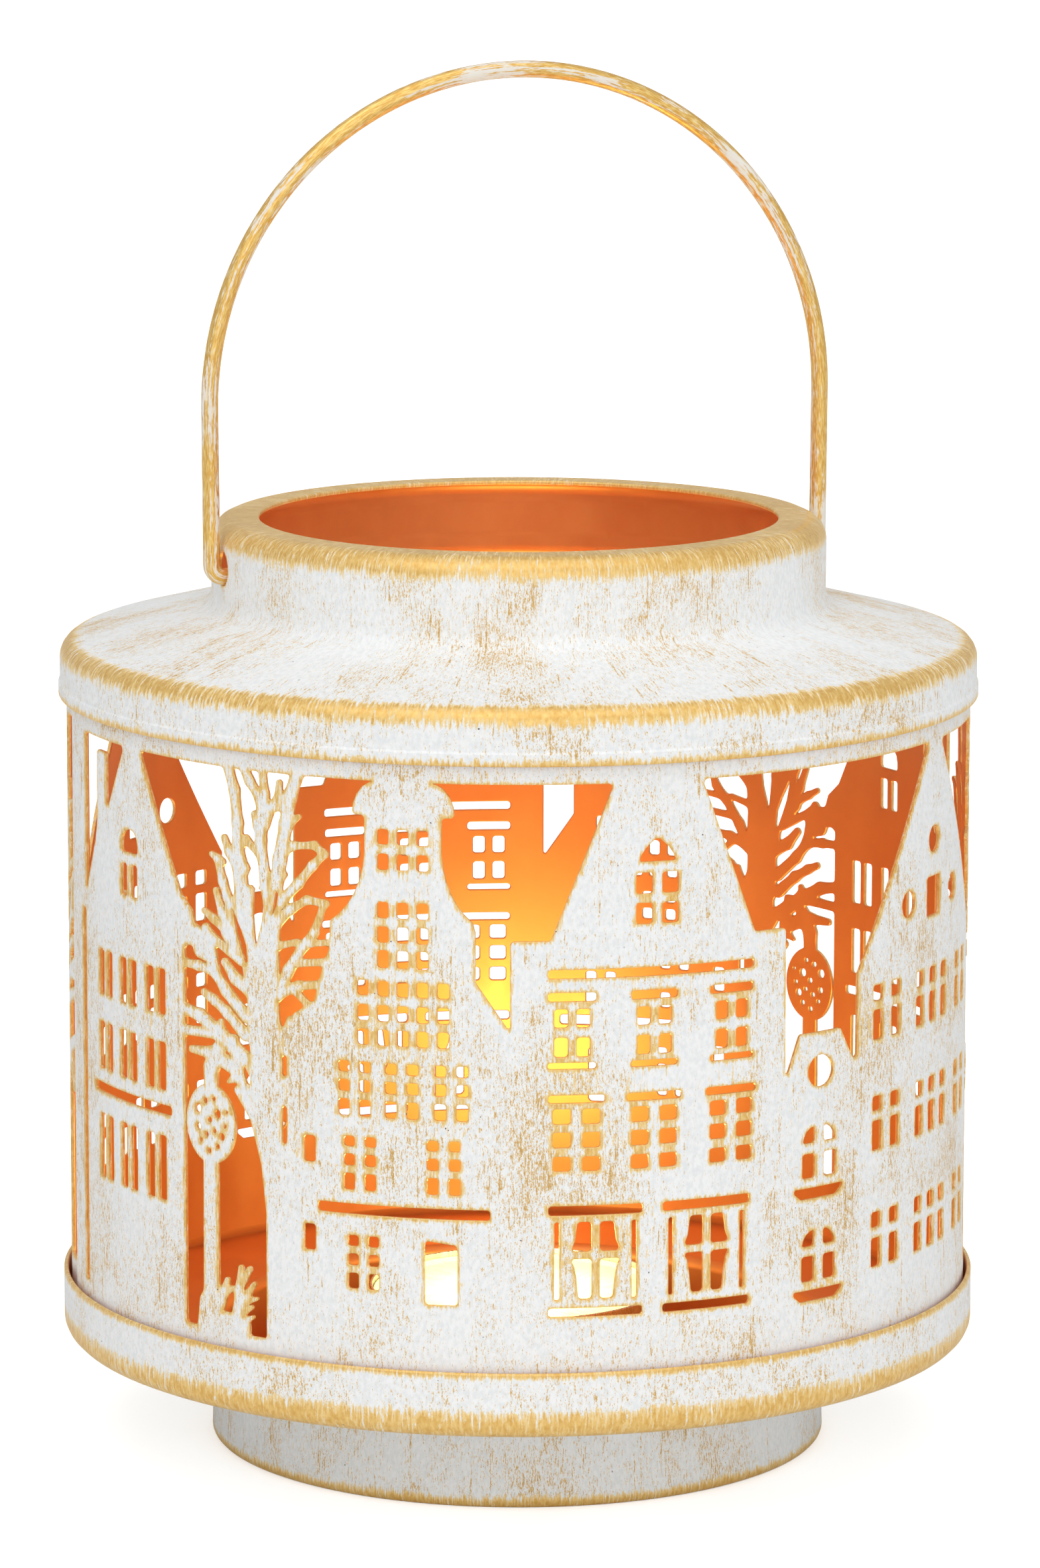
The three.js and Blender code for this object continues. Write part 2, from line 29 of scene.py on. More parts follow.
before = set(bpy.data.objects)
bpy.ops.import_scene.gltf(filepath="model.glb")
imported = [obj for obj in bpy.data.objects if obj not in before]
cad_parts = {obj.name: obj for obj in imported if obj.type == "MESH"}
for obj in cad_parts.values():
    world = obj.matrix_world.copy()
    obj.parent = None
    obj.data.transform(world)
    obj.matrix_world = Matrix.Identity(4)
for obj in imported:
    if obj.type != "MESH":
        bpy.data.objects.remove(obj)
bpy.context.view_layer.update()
mm = 0.001
farOff = 3.0  # distances to a cut or a worn line are kept up to this
brushRadius = 50.0  # the grain of a turned piece runs as on a cylinder of this radius
tiny = 1e-6  # lengths that differ by less are the same
print("frame loaded")

wall = {
    "radius": 57.3,
    "sheet": 0.6,
    "low": 15.7,
    "high": 101.2,
    "footLine": 23.85,  # lowest cut-outs
    "eavesLine": 94.3,  # highest cut-outs
    "drawingHeight": 70.7,  # the street's own height between those two lines
    "streetLength": 177.5,
    "streetStart": -72.5,  # left end of the first street, from the front
    "seamStrip": 5.0,
    "lapWidth": 4.6,
    "lapGap": 0.05,
    "lapEasing": 9.0,  # length over which the inner end steps in
    "paneCorner": 0.42,
    "gapCorner": 0.5,
    "forkBlend": 0.2,  # how much the twigs flow together
    "roundEdge": 0.13,
    "rings": [  # distance from a cut, slack, longest step
        (0.0, 0.007, 2.5), (0.13, 0.01, 3.0), (0.55, 0.035, 4.0),
    ],
    "ringRoom": 0.5,  # between the last ring and the even points
    "edgeLean": 1.1,  # how far the normals at a cut lean towards it
    "gridStep": 0.125,
    "pointStep": 3.0,
}

lid = {
    "sheet": 0.6,
    "skirtRadius": 58.3,
    "skirtBottom": 96.6,
    "skirtCorner": 103.2,
    "shoulderSlope": 14.0,
    "edgeRadius": 2.45,
    "neckRadius": 38.9,
    "rootRadius": 2.2,
    "neckTop": 118.85,
    "rimRadius": 2.6,
    "mouthRadius": 32.8,
    "hemHeight": 1.5,
    "hemProud": 0.2,
    "hemStep": 0.25,
    "hemEdge": 0.1,
    "skirtLip": 0.2,
    "mouthLip": 0.28,
    "holeHeight": 113.7,
    "holeWidth": 4.4,
    "holeLength": 4.4,
    "bandLow": 110.6,  # the part of the neck that the holes are cut in
    "bandHigh": 116.1,
    "worn": [  # radius, height, reach and fade of each worn line
        (58.2, 97.0, 0.35, 0.9), (57.6, 103.0, 0.8, 2.4), (37.9, 118.3, 1.5, 2.4), (34.2, 118.8, 2.8, 2.0),
    ],
    "segments": 240,
}

pan = {
    "sheet": 0.6,
    "radius": 58.3,
    "rimTop": 22.3,
    "underside": 14.0,
    "edgeRadius": 2.0,
    "footRadius": 39.4,
    "footTopRadius": 38.9,
    "footEdge": 1.0,
    "rootRadius": 0.9,
    "rimLip": 0.28,
    "worn": [(58.1, 22.1, 0.3, 1.0), (57.6, 14.6, 2.2, 2.0), (39.2, 0.4, 0.5, 1.6)],
    "segments": 240,
}

bail = {
    "wireRadius": 1.07,
    "turn": 18.0,  # degrees from the X axis
    "axisHeight": 112.67,
    "legAt": 40.27,
    "bend": 1.5,
    "endAt": 34.9,
    "archStart": 133.97,
    "archHalfWidth": 40.4,
    "archRise": 41.1,
    "paint": (240, 238, 232),
    "sides": 20,
    "endSteps": 5,
    "bendSteps": 9,
    "legSteps": 10,
    "archSteps": 70,
}

candle = {
    "cupRadius": 19.0,
    "cupBottom": 0.9,
    "cupHeight": 18.1,
    "cupWall": 0.3,
    "cupEdge": 1.2,
    "cupLip": 0.12,
    "gap": 0.15,
    "waxBelowRim": 1.1,
    "waxFootEdge": 0.4,
    "waxClimb": 0.4,  # height of the rim of wax that climbs up the cup
    "waxRimWidth": 0.3,
    "waxRimReach": 1.2,  # width of that rim with its slope
    "poolEdge": 0.8,
    "dip": 0.15,  # the melted pool is this much lower near the wick
    "dipReach": 1.3,
    "dipEdge": 0.6,
    "wickCling": 0.05,  # and climbs this much at the wick
    "clingEdge": 0.08,
    "sharpEdge": 0.05,
    "softEdge": 0.1,
    "wickRadius": 0.75,
    "wickAboveWax": 6.0,
    "wickLean": 0.8,
    "wickPlay": 0.08,
    "wickRings": 50,
    "wickSides": 24,
    "tabRadius": 6.2,
    "tabThickness": 0.3,
    "collarRadius": 1.5,
    "boreFloor": 0.1,
    "collarHeight": 2.7,
    "collarRoom": 3.2,
    "segments": 96,
    "tabSegments": 48,
}

camera = {
    "distance": 898.1,
    "elevation": 15.39,
    "pitch": 10.09,
    "roll": 0.091,
    "focalPixels": 10415.8,  # the focal length and the optical centre in pixels of the picture
    "centre": (781.4, 1182.5),
    "picture": (1568, 2365),
    "sensor": 36,
    "clip": (0.01, 50),
}

stage = {
    "floorSize": 12.0,
    "floorColour": (240, 240, 240),
    "floorGlow": 0.55,
    "skyStrength": 0.5,
    "suns": [  # name, azimuth from the front, height, strength, softness
        ("key", -35, 50, 0.45, 50),
        ("fill", 50, 35, 0.32, 70),
        ("top", 0, 82, 0.6, 60),
        ("front", 5, 4, 0.75, 60),
    ],
    "flamePower": 0.068,
    "flameTint": (1.0, 0.95, 0.4),
    "flameHeight": 27.0,
    "flameSize": 5.0,
}

shades = {  # the darker and the lighter shade of each finish
    "white": [(236, 239, 240), (250, 251, 251)],
    "gold": [(226, 174, 84), (248, 212, 134)],
    "copper": [(218, 136, 76), (236, 156, 92)],
    "wireGold": [(224, 172, 82), (250, 216, 134)],
    "aluminium": [(196, 197, 200), (232, 232, 233)],
    "wax": [(240, 226, 188), (248, 238, 210)],
    # the colours of the wax's painted glow from the flame
    "paintedWaxGlow": [(255, 206, 120), (255, 226, 160)],
    "wick": [(40, 32, 28), (120, 104, 84)],
}

paintwork = {
    "layers": [  # output of the dry brush, strength, colour
        ("Veil", 0.6, (234, 216, 176)),
        ("Dashes", 0.85, (224, 184, 106)),
        ("Dark", 0.7, (196, 148, 70)),
        ("Rim", 1.0, (245, 214, 148)),
    ],
    "speck": (96, 84, 76),
    "noises": {  # scale per millimetre, stretch across and along the stroke, shift, detail, roughness
        "lines": (5.2, (1, 1, 0.22), 7.7, 3.0, 0.62),
        "fine": (12.0, (1, 1, 0.35), 1.3, 1.0, 0.5),
        "mottle": (2.1, (1, 1, 0.55), 11.0, 3.0, 0.6),
        "patches": (0.33, (1, 1, 0.6), 3.1, 3.0, 0.6),
        "broad": (0.07, (1, 1, 0.7), 8.4, 2.0, 0.5),
        "strokes": (2.6, (1, 1, 0.035), 2.2, 2.0, 0.6),
        "teeth": (3.6, (1, 1, 0.12), 6.1, 2.0, 0.6),
    },
    "dashesFrom": (1.08, 1.12),  # the amount of grain where each layer starts and is full
    "darkFrom": (1.16, 1.22),
    "veilFrom": (1.11, 1.32),
    "bareTo": (0.08, 0.24),  # the ragged distance to an edge where bare gold starts to end, and has ended
    "rimTo": (0.26, 0.52),
    "wearShift": 1.58,
    "roughness": (0.62, 0.34),  # of paint and of bare gold
    "bareMetallic": 0.45,
    "bump": 0.15,
}


# The street is drawn flat: x along the sheet from the front, h up from the lowest cut-outs.
# A window row: boxes of one width at each x, for each [bottom, top].
def panes(columns, width, rows):
    x, row = np.meshgrid(np.atleast_1d(columns), np.arange(len(rows)))
    low, high = np.array(rows, float).T
    x, low, high = x.ravel(), low[row.ravel()], high[row.ravel()]
    return np.stack([x - width / 2, low, x + width / 2, high], 1)


# Places at both sides of each middle.
def pairs(middles, offset):
    return np.add.outer(middles, [-offset, offset]).ravel()


# Points of an arc: centre plus cosine and sine of evenly spaced angles, times the two radii.
def arcPoints(x, h, rx, rh, start, end, count):
    angle = np.radians(np.linspace(start, end, count))
    return np.stack([x + rx * np.cos(angle), h + rh * np.sin(angle)], 1).tolist()


warehouseBays = [-63.4, -57.2, -51.0]
bellMiddle, longMiddle, smallMiddle, merchantMiddle = -14.0, 64.2, 40.1, 17.0
threeBays = bellMiddle + np.array([-2.45, 0, 2.45])
fiveBays = bellMiddle + np.array([-5.0, -2.45, 0, 2.45, 5.0])
upperBays, lowerBays, shops = [6.55, 16.7, 26.85], [7.1, 16.7, 26.8], [9.5, 23.65]
longBays = longMiddle + np.array([-13.6, -9.8, -3.75, 0, 3.75, 9.8, 13.6])
eaves = wall["drawingHeight"]

boxes = np.vstack([
    [[-71.9, 0.2, -70.3, 48.2], [-67.2, 25.8, -47.9, 27.0]],
    panes([-58.0, -55.6], 1.5, [[52, 56.1]]),
    panes(pairs(warehouseBays, 1.2), 1.6, [[38.3, 44.1], [28.8, 34.9], [14.9, 23.1]]),
    panes(threeBays, 1.45, [[63.0, 64.9], [59.9, 61.9], [54.0, 56.0], [51.0, 53.0], [47.9, 50.1]]),
    panes(fiveBays, 1.45, [[44.4, 46.3], [41.3, 43.3], [38.3, 40.3]]),
    panes(pairs([-20.15, -14.15, -8.05], 1.35), 1.45, [[34.8, 36.2], [32.4, 33.9], [29.4, 31.5]]),
    panes(pairs([-19.45, -8.95], 1.35), 1.45, [[25.6, 26.9], [23.2, 24.7], [20.2, 22.3]]),
    panes(pairs([-19.0], 1.3), 1.4, [[13.2, 14.6], [10.8, 12.3], [7.9, 9.9]]),
    [[-25.0, 17.2, -3.3, 18.5], [-26.9, 12.2, -25.3, 15.5], [-26.9, 23.2, -25.3, 26.5]],
    panes([-29.6], 0.7, [[25.0, 29.7], [33.4, 36.0]]),
    panes(pairs([merchantMiddle], 1.65), 2.1, [[57.1, 59.7], [53.4, 56.0]]),
    [[3.6, 47.0, 29.9, 48.1]],
    panes(upperBays, 5.9, [[44.2, 45.3], [35.9, 36.7]]),
    panes(pairs(upperBays, 1.35), 1.65, [[41.0, 43.3], [37.4, 39.8]]),
    panes(lowerBays, 6.9, [[31.7, 32.7]]),
    panes(pairs(lowerBays, 1.8), 2.2, [[29.1, 31.0], [26.2, 28.1], [23.3, 25.1]]),
    panes(shops, 11.6, [[17.8, 19.0], [5.2, 6.3]]),
    panes(pairs(shops, 4.75), 0.6, [[7.3, 17.0]]),
    panes(pairs([smallMiddle], 1.75), 2.05, [[19.6, 22.7], [6.6, 9.8]]),
    [[longMiddle - 2.1, 48.6, longMiddle + 2.1, 53.6]],
    panes(longBays, 1.95, [
        [40.1, 42.1], [35.2, 39.0], [26.2, 28.1], [21.2, 25.0], [11.4, 13.4], [6.4, 10.1],
    ]),
])

rounds = np.array([  # x, height, radius across, radius up
    [40.2, 32.9, 2.05, 2.0],
    [longMiddle, 58.3, 1.65, 1.7],
    [longMiddle - 6.9, 51.1, 1.65, 1.7],
    [longMiddle + 6.9, 51.1, 1.65, 1.7],
])


# One side of a shop window: an upper and a lower pane with a drawn curtain between muntin and frame.
def curtainedPanes(middle, side):
    upper = [[0.5, 13.3], [3.1, 13.3], [2.55, 14.6], [2.25, 17.0], [0.5, 17.0]]
    lower = [[0.5, 7.4], [2.1, 7.4], [2.35, 10.0], [2.6, 11.4], [3.1, 12.4], [0.5, 12.4]]
    return [[[middle + side * x, h] for x, h in shape] for shape in (upper, lower)]


# The two quarter-round heads of an arched window, and the sill under it.
def archedHeads(middle, spring, sill):
    quarter = arcPoints(0.72, spring, 2.0, 2.1, 90, 0, 5) + [[0.72, spring]]
    sillHalf = [[4, sill], [4, sill - 0.5], [2.9, sill - 1.4]]
    sillShape = [[-x, h] for x, h in sillHalf] + sillHalf[::-1]
    shapes = [quarter, [[-x, h] for x, h in quarter], sillShape]
    return [[[middle + x, h] for x, h in shape] for shape in shapes]


outlines = [
    [[-70.3, 50.8], [-69.6, 51.3], [-66.3, 57.8], [-65.7, 60.3], [-65.7, 69.2], [-62.9, 69.2],
     [-62.9, 61.1], [-57.8, eaves], [-70.3, eaves]],
    arcPoints(-56.7, 58.6, 2.0, 1.9, 0, 180, 7) + [[-58.7, 57.5], [-54.7, 57.5]],
    [[-11.3, 6.5], [-7.3, 6.5], [-7.3, 14.0], [-11.3, 14.5]],
    [[14.6, 61.0], [19.4, 61.0], [19.1, 61.8], [18.4, 62.8], [17.3, 63.8], [16.7, 63.8], [15.6, 62.8],
     [14.9, 61.8]],
    [[-0.95, 41.0], [-0.95, 51.6], [3.9, 51.6], [11.6, eaves], [-10.7, eaves]]
    + arcPoints(-10.7, 66.5, 3.1, 4.2, 75, 0, 5) + [[-9.2, 66.5], [-9.25, 62.8]]
    + arcPoints(-1.6, 62.8, 7.65, 10.4, 184, 240, 7) + [[-5.1, 52.6], [-5.1, 46.5], [-1.25, 40.9]],
    [[35.0, 33.2], [36.8, 37.8], [43.5, 37.8], [46.55, 32.2], [46.6, 44.1], [46.9, 44.5], [62.5, eaves],
     [22.7, eaves], [30.0, 51.4], [34.5, 51.4], [34.6, 33.2]],
    [[-33.9, 56.2], [-32.9, 56.3], [-32.5, 54.2], [-32.8, 52], [-33.4, 50], [-33.7, 49.7], [-33.9, 52],
     [-34.1, 54]],
    [[-35.0, 57.6], [-34.3, 59.1], [-33.8, 59.6], [-33.2, 59.2], [-33.0, 56.4], [-33.9, 56.1],
     [-34.4, 56.6], [-34.9, 56.4]],
    [[-37.3, 53.6], [-36.9, 52.8], [-35.9, 50.9], [-35.1, 49], [-34.9, 47], [-35.2, 46.7], [-35.9, 48.4],
     [-36.7, 50.6]],
    [[-35.7, 34.4], [-35.1, 33.4], [-34.6, 32.6], [-34.7, 31.6], [-35.2, 31.9], [-35.6, 33]],
    [[-30.75, 56.4], [-30.35, 55.9], [-30.6, 54.5], [-31.3, 52.8], [-31.1, 54.2]],
    *archedHeads(smallMiddle, 24.0, 18.4), *archedHeads(smallMiddle, 11.0, 5.5),
    *[shape for middle in shops for side in (-1, 1) for shape in curtainedPanes(middle, side)],
]

gardens = [
    [[-45.4, 0.2], [-32.3, 0.2], [-32.3, 16.0], [-33.0, 22.0], [-34.6, 27.4], [-37.6, 31.4], [-31.0, 31.2],
     [-30.2, 33.0], [-30.2, 38.6], [-28.2, 41.4], [-25.4, 43.2], [-24.4, 47.0], [-23.3, 50.0], [-23.3, 52.6]]
    + arcPoints(-26.4, 62.8, 7.65, 10.4, -66, -4, 7) + [[-18.8, 66.5], [-20.3, 66.5]]
    + arcPoints(-17.3, 66.5, 3.1, 4.2, 180, 105, 5)
    + [[-17.6, eaves], [-54.2, eaves], [-46.0, 54.0], [-44.0, 52.2], [-43.2, 49.4], [-45.4, 47.4]],
    [[82.2, 0.2], [103.3, 0.2], [103.3, eaves], [66.2, eaves], [82.0, 44.5]],
]

# A limb: its points from the trunk outwards, and its width at both ends. Both trees have this crown.
crownLimbs = [
    ([[-34.4, 44], [-35.9, 53], [-36.5, 60], [-36.4, 64], [-36.9, 68], [-38.3, 72]], 1.7, 1.4),
    ([[-36.6, 58.6], [-37.8, 60.3], [-38.5, 61.9]], 1.2, 0.95),
    ([[-35.9, 61.3], [-35.1, 62.1], [-33.1, 60.4]], 0.9, 0.85),
    ([[-34.4, 46], [-34.9, 54], [-35.3, 58.4], [-36.2, 60.6]], 1.7, 1.1),
    ([[-34.7, 54.5], [-34.2, 56.9]], 1.0, 0.7),
    ([[-35.4, 53.8], [-36.7, 54.7]], 0.9, 0.7),
    ([[-32.6, 47], [-32.4, 54], [-32.4, 58], [-32.9, 62], [-32.3, 66]], 1.8, 1.2),
    ([[-32.6, 64.5], [-33.1, 67.5], [-34.6, 69.4], [-36.0, 72]], 1.2, 1.2),
    ([[-32.2, 65.5], [-32.3, 68], [-32.8, 72]], 1.1, 1.0),
    ([[-32.2, 64.2], [-31.2, 66.6], [-30.3, 67.8], [-30.2, 69.5]], 1.0, 0.85),
    ([[-31.0, 66.5], [-29.2, 66.6]], 0.9, 0.9),
    ([[-32.9, 62.3], [-33.4, 64.0], [-33.8, 65.3]], 1.15, 0.95),
    ([[-31.2, 50], [-31.0, 55], [-30.2, 60], [-29.3, 64.5], [-28.7, 68], [-27.2, 72]], 1.8, 1.6),
    ([[-29.0, 64.6], [-27.5, 65.6]], 1.0, 0.65),
    ([[-30.0, 60.8], [-28.2, 62.0], [-25.4, 62.3], [-24.0, 61.3]], 0.95, 0.8),
    ([[-30.2, 54.8], [-27.6, 57.4], [-25.6, 59.8], [-24.1, 61.3]], 1.3, 0.9),
    ([[-30.5, 57.5], [-29.5, 58.3]], 0.9, 0.65),
    ([[-31.0, 51.8], [-28.6, 54.2], [-26.4, 55.5], [-23.8, 55.3]], 1.2, 0.8),
    ([[-30.4, 43.5], [-29.0, 46.6], [-27.0, 49.7], [-25.4, 51.6], [-24.2, 54.9]], 1.5, 0.8),
    ([[-30.6, 49.4], [-27.8, 50.2]], 0.9, 0.75),
    ([[-29.6, 43.9], [-27.6, 44.8], [-24.4, 45.3]], 1.2, 0.9),
    ([[-28.4, 44.4], [-26.3, 42.6]], 0.85, 0.85),
    ([[-29.2, 39.0], [-28.9, 40.6]], 1.0, 0.6),
    ([[-35.2, 49.6], [-37.4, 53.2], [-38.8, 56.5], [-39.6, 59.2]], 1.6, 1.0),
    ([[-38.8, 58.9], [-40.6, 59.7]], 0.85, 0.7),
    ([[-36.0, 48.6], [-38.9, 52.6], [-39.9, 55.2]], 1.5, 0.9),
    ([[-38.2, 50.4], [-40.4, 51.7], [-41.9, 52.5]], 1.1, 0.8),
    ([[-35.2, 40.2], [-38.4, 43.0], [-40.2, 45.2], [-40.8, 48.6], [-41.6, 50.4]], 1.6, 1.2),
    ([[-34.8, 43.6], [-36.9, 44.7], [-38.5, 46.5]], 1.8, 1.1),
    ([[-36.0, 47.0], [-40.6, 49.4]], 1.2, 1.0),
    ([[-40.2, 45.2], [-43.0, 45.5], [-46.0, 45.6]], 1.2, 1.0),
    ([[-35.4, 37.9], [-38.2, 40.3], [-40.4, 41.6], [-42.0, 42.3]], 1.6, 1.0),
    ([[-35.6, 35.0], [-39.4, 37.6], [-42.6, 39.3], [-46.0, 39.9]], 2.0, 1.4),
    ([[-39.6, 37.6], [-39.2, 39.0]], 1.2, 0.8),
    ([[-37.4, 36.0], [-36.9, 37.2]], 1.1, 0.75),
    ([[-40.0, 37.4], [-46.0, 37.1]], 1.3, 1.2),
    ([[-36.4, 33.4], [-41.0, 34.9], [-44.2, 34.9]], 2.2, 0.95),
]
gardenLimbs = crownLimbs + [
    ([[-32.2, 29], [-32.2, 38.5]], 5.2, 4.6),
    ([[-32.6, 38], [-32.8, 47]], 4.6, 4.6),
    ([[-30.6, 29], [-30.4, 37]], 2.4, 1.4),
    ([[-31.2, 45.5], [-31.0, 49.2]], 1.4, 1.2),
    ([[-37.4, 37.0], [-36.4, 34.6], [-35.9, 32.4], [-35.4, 30.4]], 1.2, 1.3),
    ([[-45.2, 49.4], [-41.4, 48.8]], 2.6, 2.8),
    ([[-42.6, 47.6], [-40.9, 46.8]], 2.2, 1.4),
    ([[-38.3, 50.0], [-36.9, 48.5]], 1.3, 1.0),
    ([[-27.6, 47.6], [-23.0, 48.2]], 0.9, 0.9),
    ([[-26.3, 50.1], [-23.0, 50.6]], 0.8, 0.7),
    ([[-38.0, 31.7], [-35.6, 33.2]], 0.5, 2.2),
    ([[-41.6, -1], [-41.6, 3.4]], 3.9, 2.8),
    ([[-41.0, 3], [-41.0, 24]], 2.6, 2.4),
    ([[-41.0, 29], [-40.9, 33.0], [-39.6, 35.4]], 2.3, 2.1),
    ([[-40.4, 1.0], [-36.4, 1.0]], 3.4, 3.2),
    ([[-40.2, 3.4], [-39.6, 5.2]], 1.6, 0.9),
    ([[-39.5, 3.6], [-38.4, 6.7]], 1.5, 0.75),
    ([[-38.8, 5.0], [-37.6, 5.8]], 0.9, 0.6),
    ([[-36.9, 2.0], [-36.6, 5.4], [-36.2, 8.6]], 1.5, 0.75),
    ([[-36.4, 6.0], [-34.9, 8.6]], 0.85, 0.75),
    ([[-36.6, 3.4], [-35.6, 4.9], [-34.2, 6.8]], 1.2, 0.6),
    ([[-35.8, 4.4], [-33.8, 5.0]], 0.8, 0.45),
    ([[-36.6, 2.6], [-34.6, 3.8]], 1.0, 0.5),
    ([[-36.4, 1.6], [-34.4, 2.6]], 0.9, 0.45),
]
crownMiddle, seamTrunk = -33.2, 92.6
seamLimbs = [
    ([[seamTrunk + crownMiddle - x, h] for x, h in points], start, end) for points, start, end in crownLimbs
] + [
    ([[seamTrunk, -1], [seamTrunk, 31]], 8.0, 5.2),
    ([[seamTrunk, 31], [seamTrunk, 47]], 5.2, 4.6),
    ([[seamTrunk - 2, 21], [86.8, 26.4], [81.6, 28.4]], 2.6, 1.4),
    ([[86.8, 26.0], [84.6, 22.4]], 1.2, 0.8),
    ([[seamTrunk + 2, 21], [98.2, 27.6], [104, 30.2]], 2.6, 1.4),
    ([[98.0, 27.0], [100.6, 22.4]], 1.2, 0.8),
]
clippedBall = {
    "at": (-41.0, 26.0),
    "across": 4.1,
    "up": 5.0,
    "holes": [  # x, h and radius
        (-43.1, 27.7, 0.5), (-41.1, 26.5, 0.33), (-39.8, 27.4, 0.48), (-38.6, 26.0, 0.25),
        (-39.1, 24.6, 0.42), (-39.8, 23.3, 0.3), (-41.2, 22.6, 0.3), (-43.0, 25.4, 0.36),
        (-41.8, 28.8, 0.33), (-40.3, 25.2, 0.27), (-42.6, 23.8, 0.27), (-40.4, 29.2, 0.27),
        (-41.6, 24.6, 0.3), (-38.3, 27.8, 0.2),
    ],
    "holeStretch": 1.2,  # height over width of each hole
}


# A limb becomes tapering rods end to end: both ends of each rod, and its two widths.
def limbRods(limb):
    points, start, end = limb
    points = np.array(points, float)
    run = np.concatenate([[0], np.cumsum(np.hypot(*np.diff(points, axis=0).T))])
    width = start + (end - start) * run / run[-1]
    return np.column_stack([points[:-1], points[1:], width[:-1], width[1:]])


# Each vector over its own length.
def unit(vectors):
    return vectors / np.maximum(np.linalg.norm(vectors, axis=-1, keepdims=True), 1e-12)


# How far each grid point of the flat sheet is from the nearest cut-out, below 0 inside one.
class SheetField:
    def __init__(self, x0, h0, length, height):
        step = wall["gridStep"]
        self.step = step
        self.x0, self.h0, self.x1 = x0, h0, x0 + length
        columns = round(length / step) + 1
        rows = round(height / step) + 1
        self.x = self.x0 + step * np.arange(columns)
        self.h = self.h0 + step * np.arange(rows)
        self.value = np.full((rows, columns), farOff)

    # Rows, columns and coordinates of the part of the grid that lies within a margin of a box.
    def window(self, x0, h0, x1, h1, margin=farOff):
        columns = (np.array([x0 - margin, x1 + margin]) - self.x0) / self.step
        rows = (np.array([h0 - margin, h1 + margin]) - self.h0) / self.step
        c0, c1 = np.clip(columns.astype(int), 0, len(self.x))
        r0, r1 = np.clip(rows.astype(int), 0, len(self.h))
        return (slice(r0, r1), slice(c0, c1)), self.x[None, c0:c1], self.h[r0:r1, None]

    def cut(self, where, distance):
        self.value[where] = np.minimum(self.value[where], distance)

    # Bilinear value of any grid of the same size at points.
    def sample(self, grid, points):
        c = np.clip((points[:, 0] - self.x0) / self.step, 0, len(self.x) - 1.001)
        r = np.clip((points[:, 1] - self.h0) / self.step, 0, len(self.h) - 1.001)
        ci, ri = c.astype(int), r.astype(int)
        u, v = c - ci, r - ri
        low = grid[ri, ci] * (1 - u) + grid[ri, ci + 1] * u
        high = grid[ri + 1, ci] * (1 - u) + grid[ri + 1, ci + 1] * u
        return low * (1 - v) + high * v


# Distance to a box with rounded corners: past its inner box, less the corner radius.
def boxDistance(x, h, box, radius):
    cx, ch = (box[0] + box[2]) / 2, (box[1] + box[3]) / 2
    radius = min(radius, 0.49 * min(box[2] - box[0], box[3] - box[1]))  # just under half the narrow side
    dx = np.abs(x - cx) - ((box[2] - box[0]) / 2 - radius)
    dh = np.abs(h - ch) - ((box[3] - box[1]) / 2 - radius)
    return np.hypot(np.maximum(dx, 0), np.maximum(dh, 0)) + np.minimum(np.maximum(dx, dh), 0) - radius


# Distance to a closed outline: the nearest edge, with the sign of the count of edges crossed.
def outlineDistance(x, h, outline):
    nearest = np.full(np.broadcast(x, h).shape, 1e9)
    inside = np.zeros(nearest.shape, bool)
    for a, b in zip(outline, np.roll(outline, -1, 0)):
        ex, eh = b - a
        px, ph = x - a[0], h - a[1]
        t = np.clip((px * ex + ph * eh) / (ex * ex + eh * eh), 0, 1)
        nearest = np.minimum(nearest, (px - ex * t) ** 2 + (ph - eh * t) ** 2)
        if eh != 0:
            inside ^= ((a[1] > h) != (b[1] > h)) & (x < a[0] + ex * (h - a[1]) / eh)
    return np.where(inside, -1, 1) * np.sqrt(nearest)


# At each corner of a closed outline: unit vectors along both edges, their lengths, half the angle between.
def cornerEdges(at):
    back, on = np.roll(at, 1, 0) - at, np.roll(at, -1, 0) - at
    backLength, onLength = np.hypot(*back.T), np.hypot(*on.T)
    back, on = back / backLength[:, None], on / onLength[:, None]
    half = np.arccos(np.clip((back * on).sum(1), -1, 1)) / 2
    return back, on, backLength, onLength, half


# Every corner of an outline swapped for an arc that touches both of its edges.
def roundedOutline(outline, radius, steps=4):
    at = np.array(outline, float)
    at = at[np.hypot(*(at - np.roll(at, 1, 0)).T) > tiny]
    aside = at - (np.roll(at, 1, 0) + np.roll(at, -1, 0)) / 2
    across = np.roll(at, -1, 0) - np.roll(at, 1, 0)
    at = at[np.abs(aside[:, 0] * across[:, 1] - aside[:, 1] * across[:, 0]) > 1e-5]
    back, on, backLength, onLength, half = cornerEdges(at)
    reach = np.minimum(radius / np.tan(half), 0.45 * np.minimum(backLength, onLength))
    curve = reach * np.tan(half)
    start, end = at + back * reach[:, None], at + on * reach[:, None]
    t = np.linspace(0, 1, steps + 1)[None, :, None]
    centre = at + unit(back + on) * (curve / np.sin(half))[:, None]
    spokes = (1 - t) * (start - centre)[:, None] + t * (end - centre)[:, None]
    spokes *= (curve[:, None] / np.linalg.norm(spokes, axis=2))[:, :, None]
    return (centre[:, None] + spokes).reshape(-1, 2)


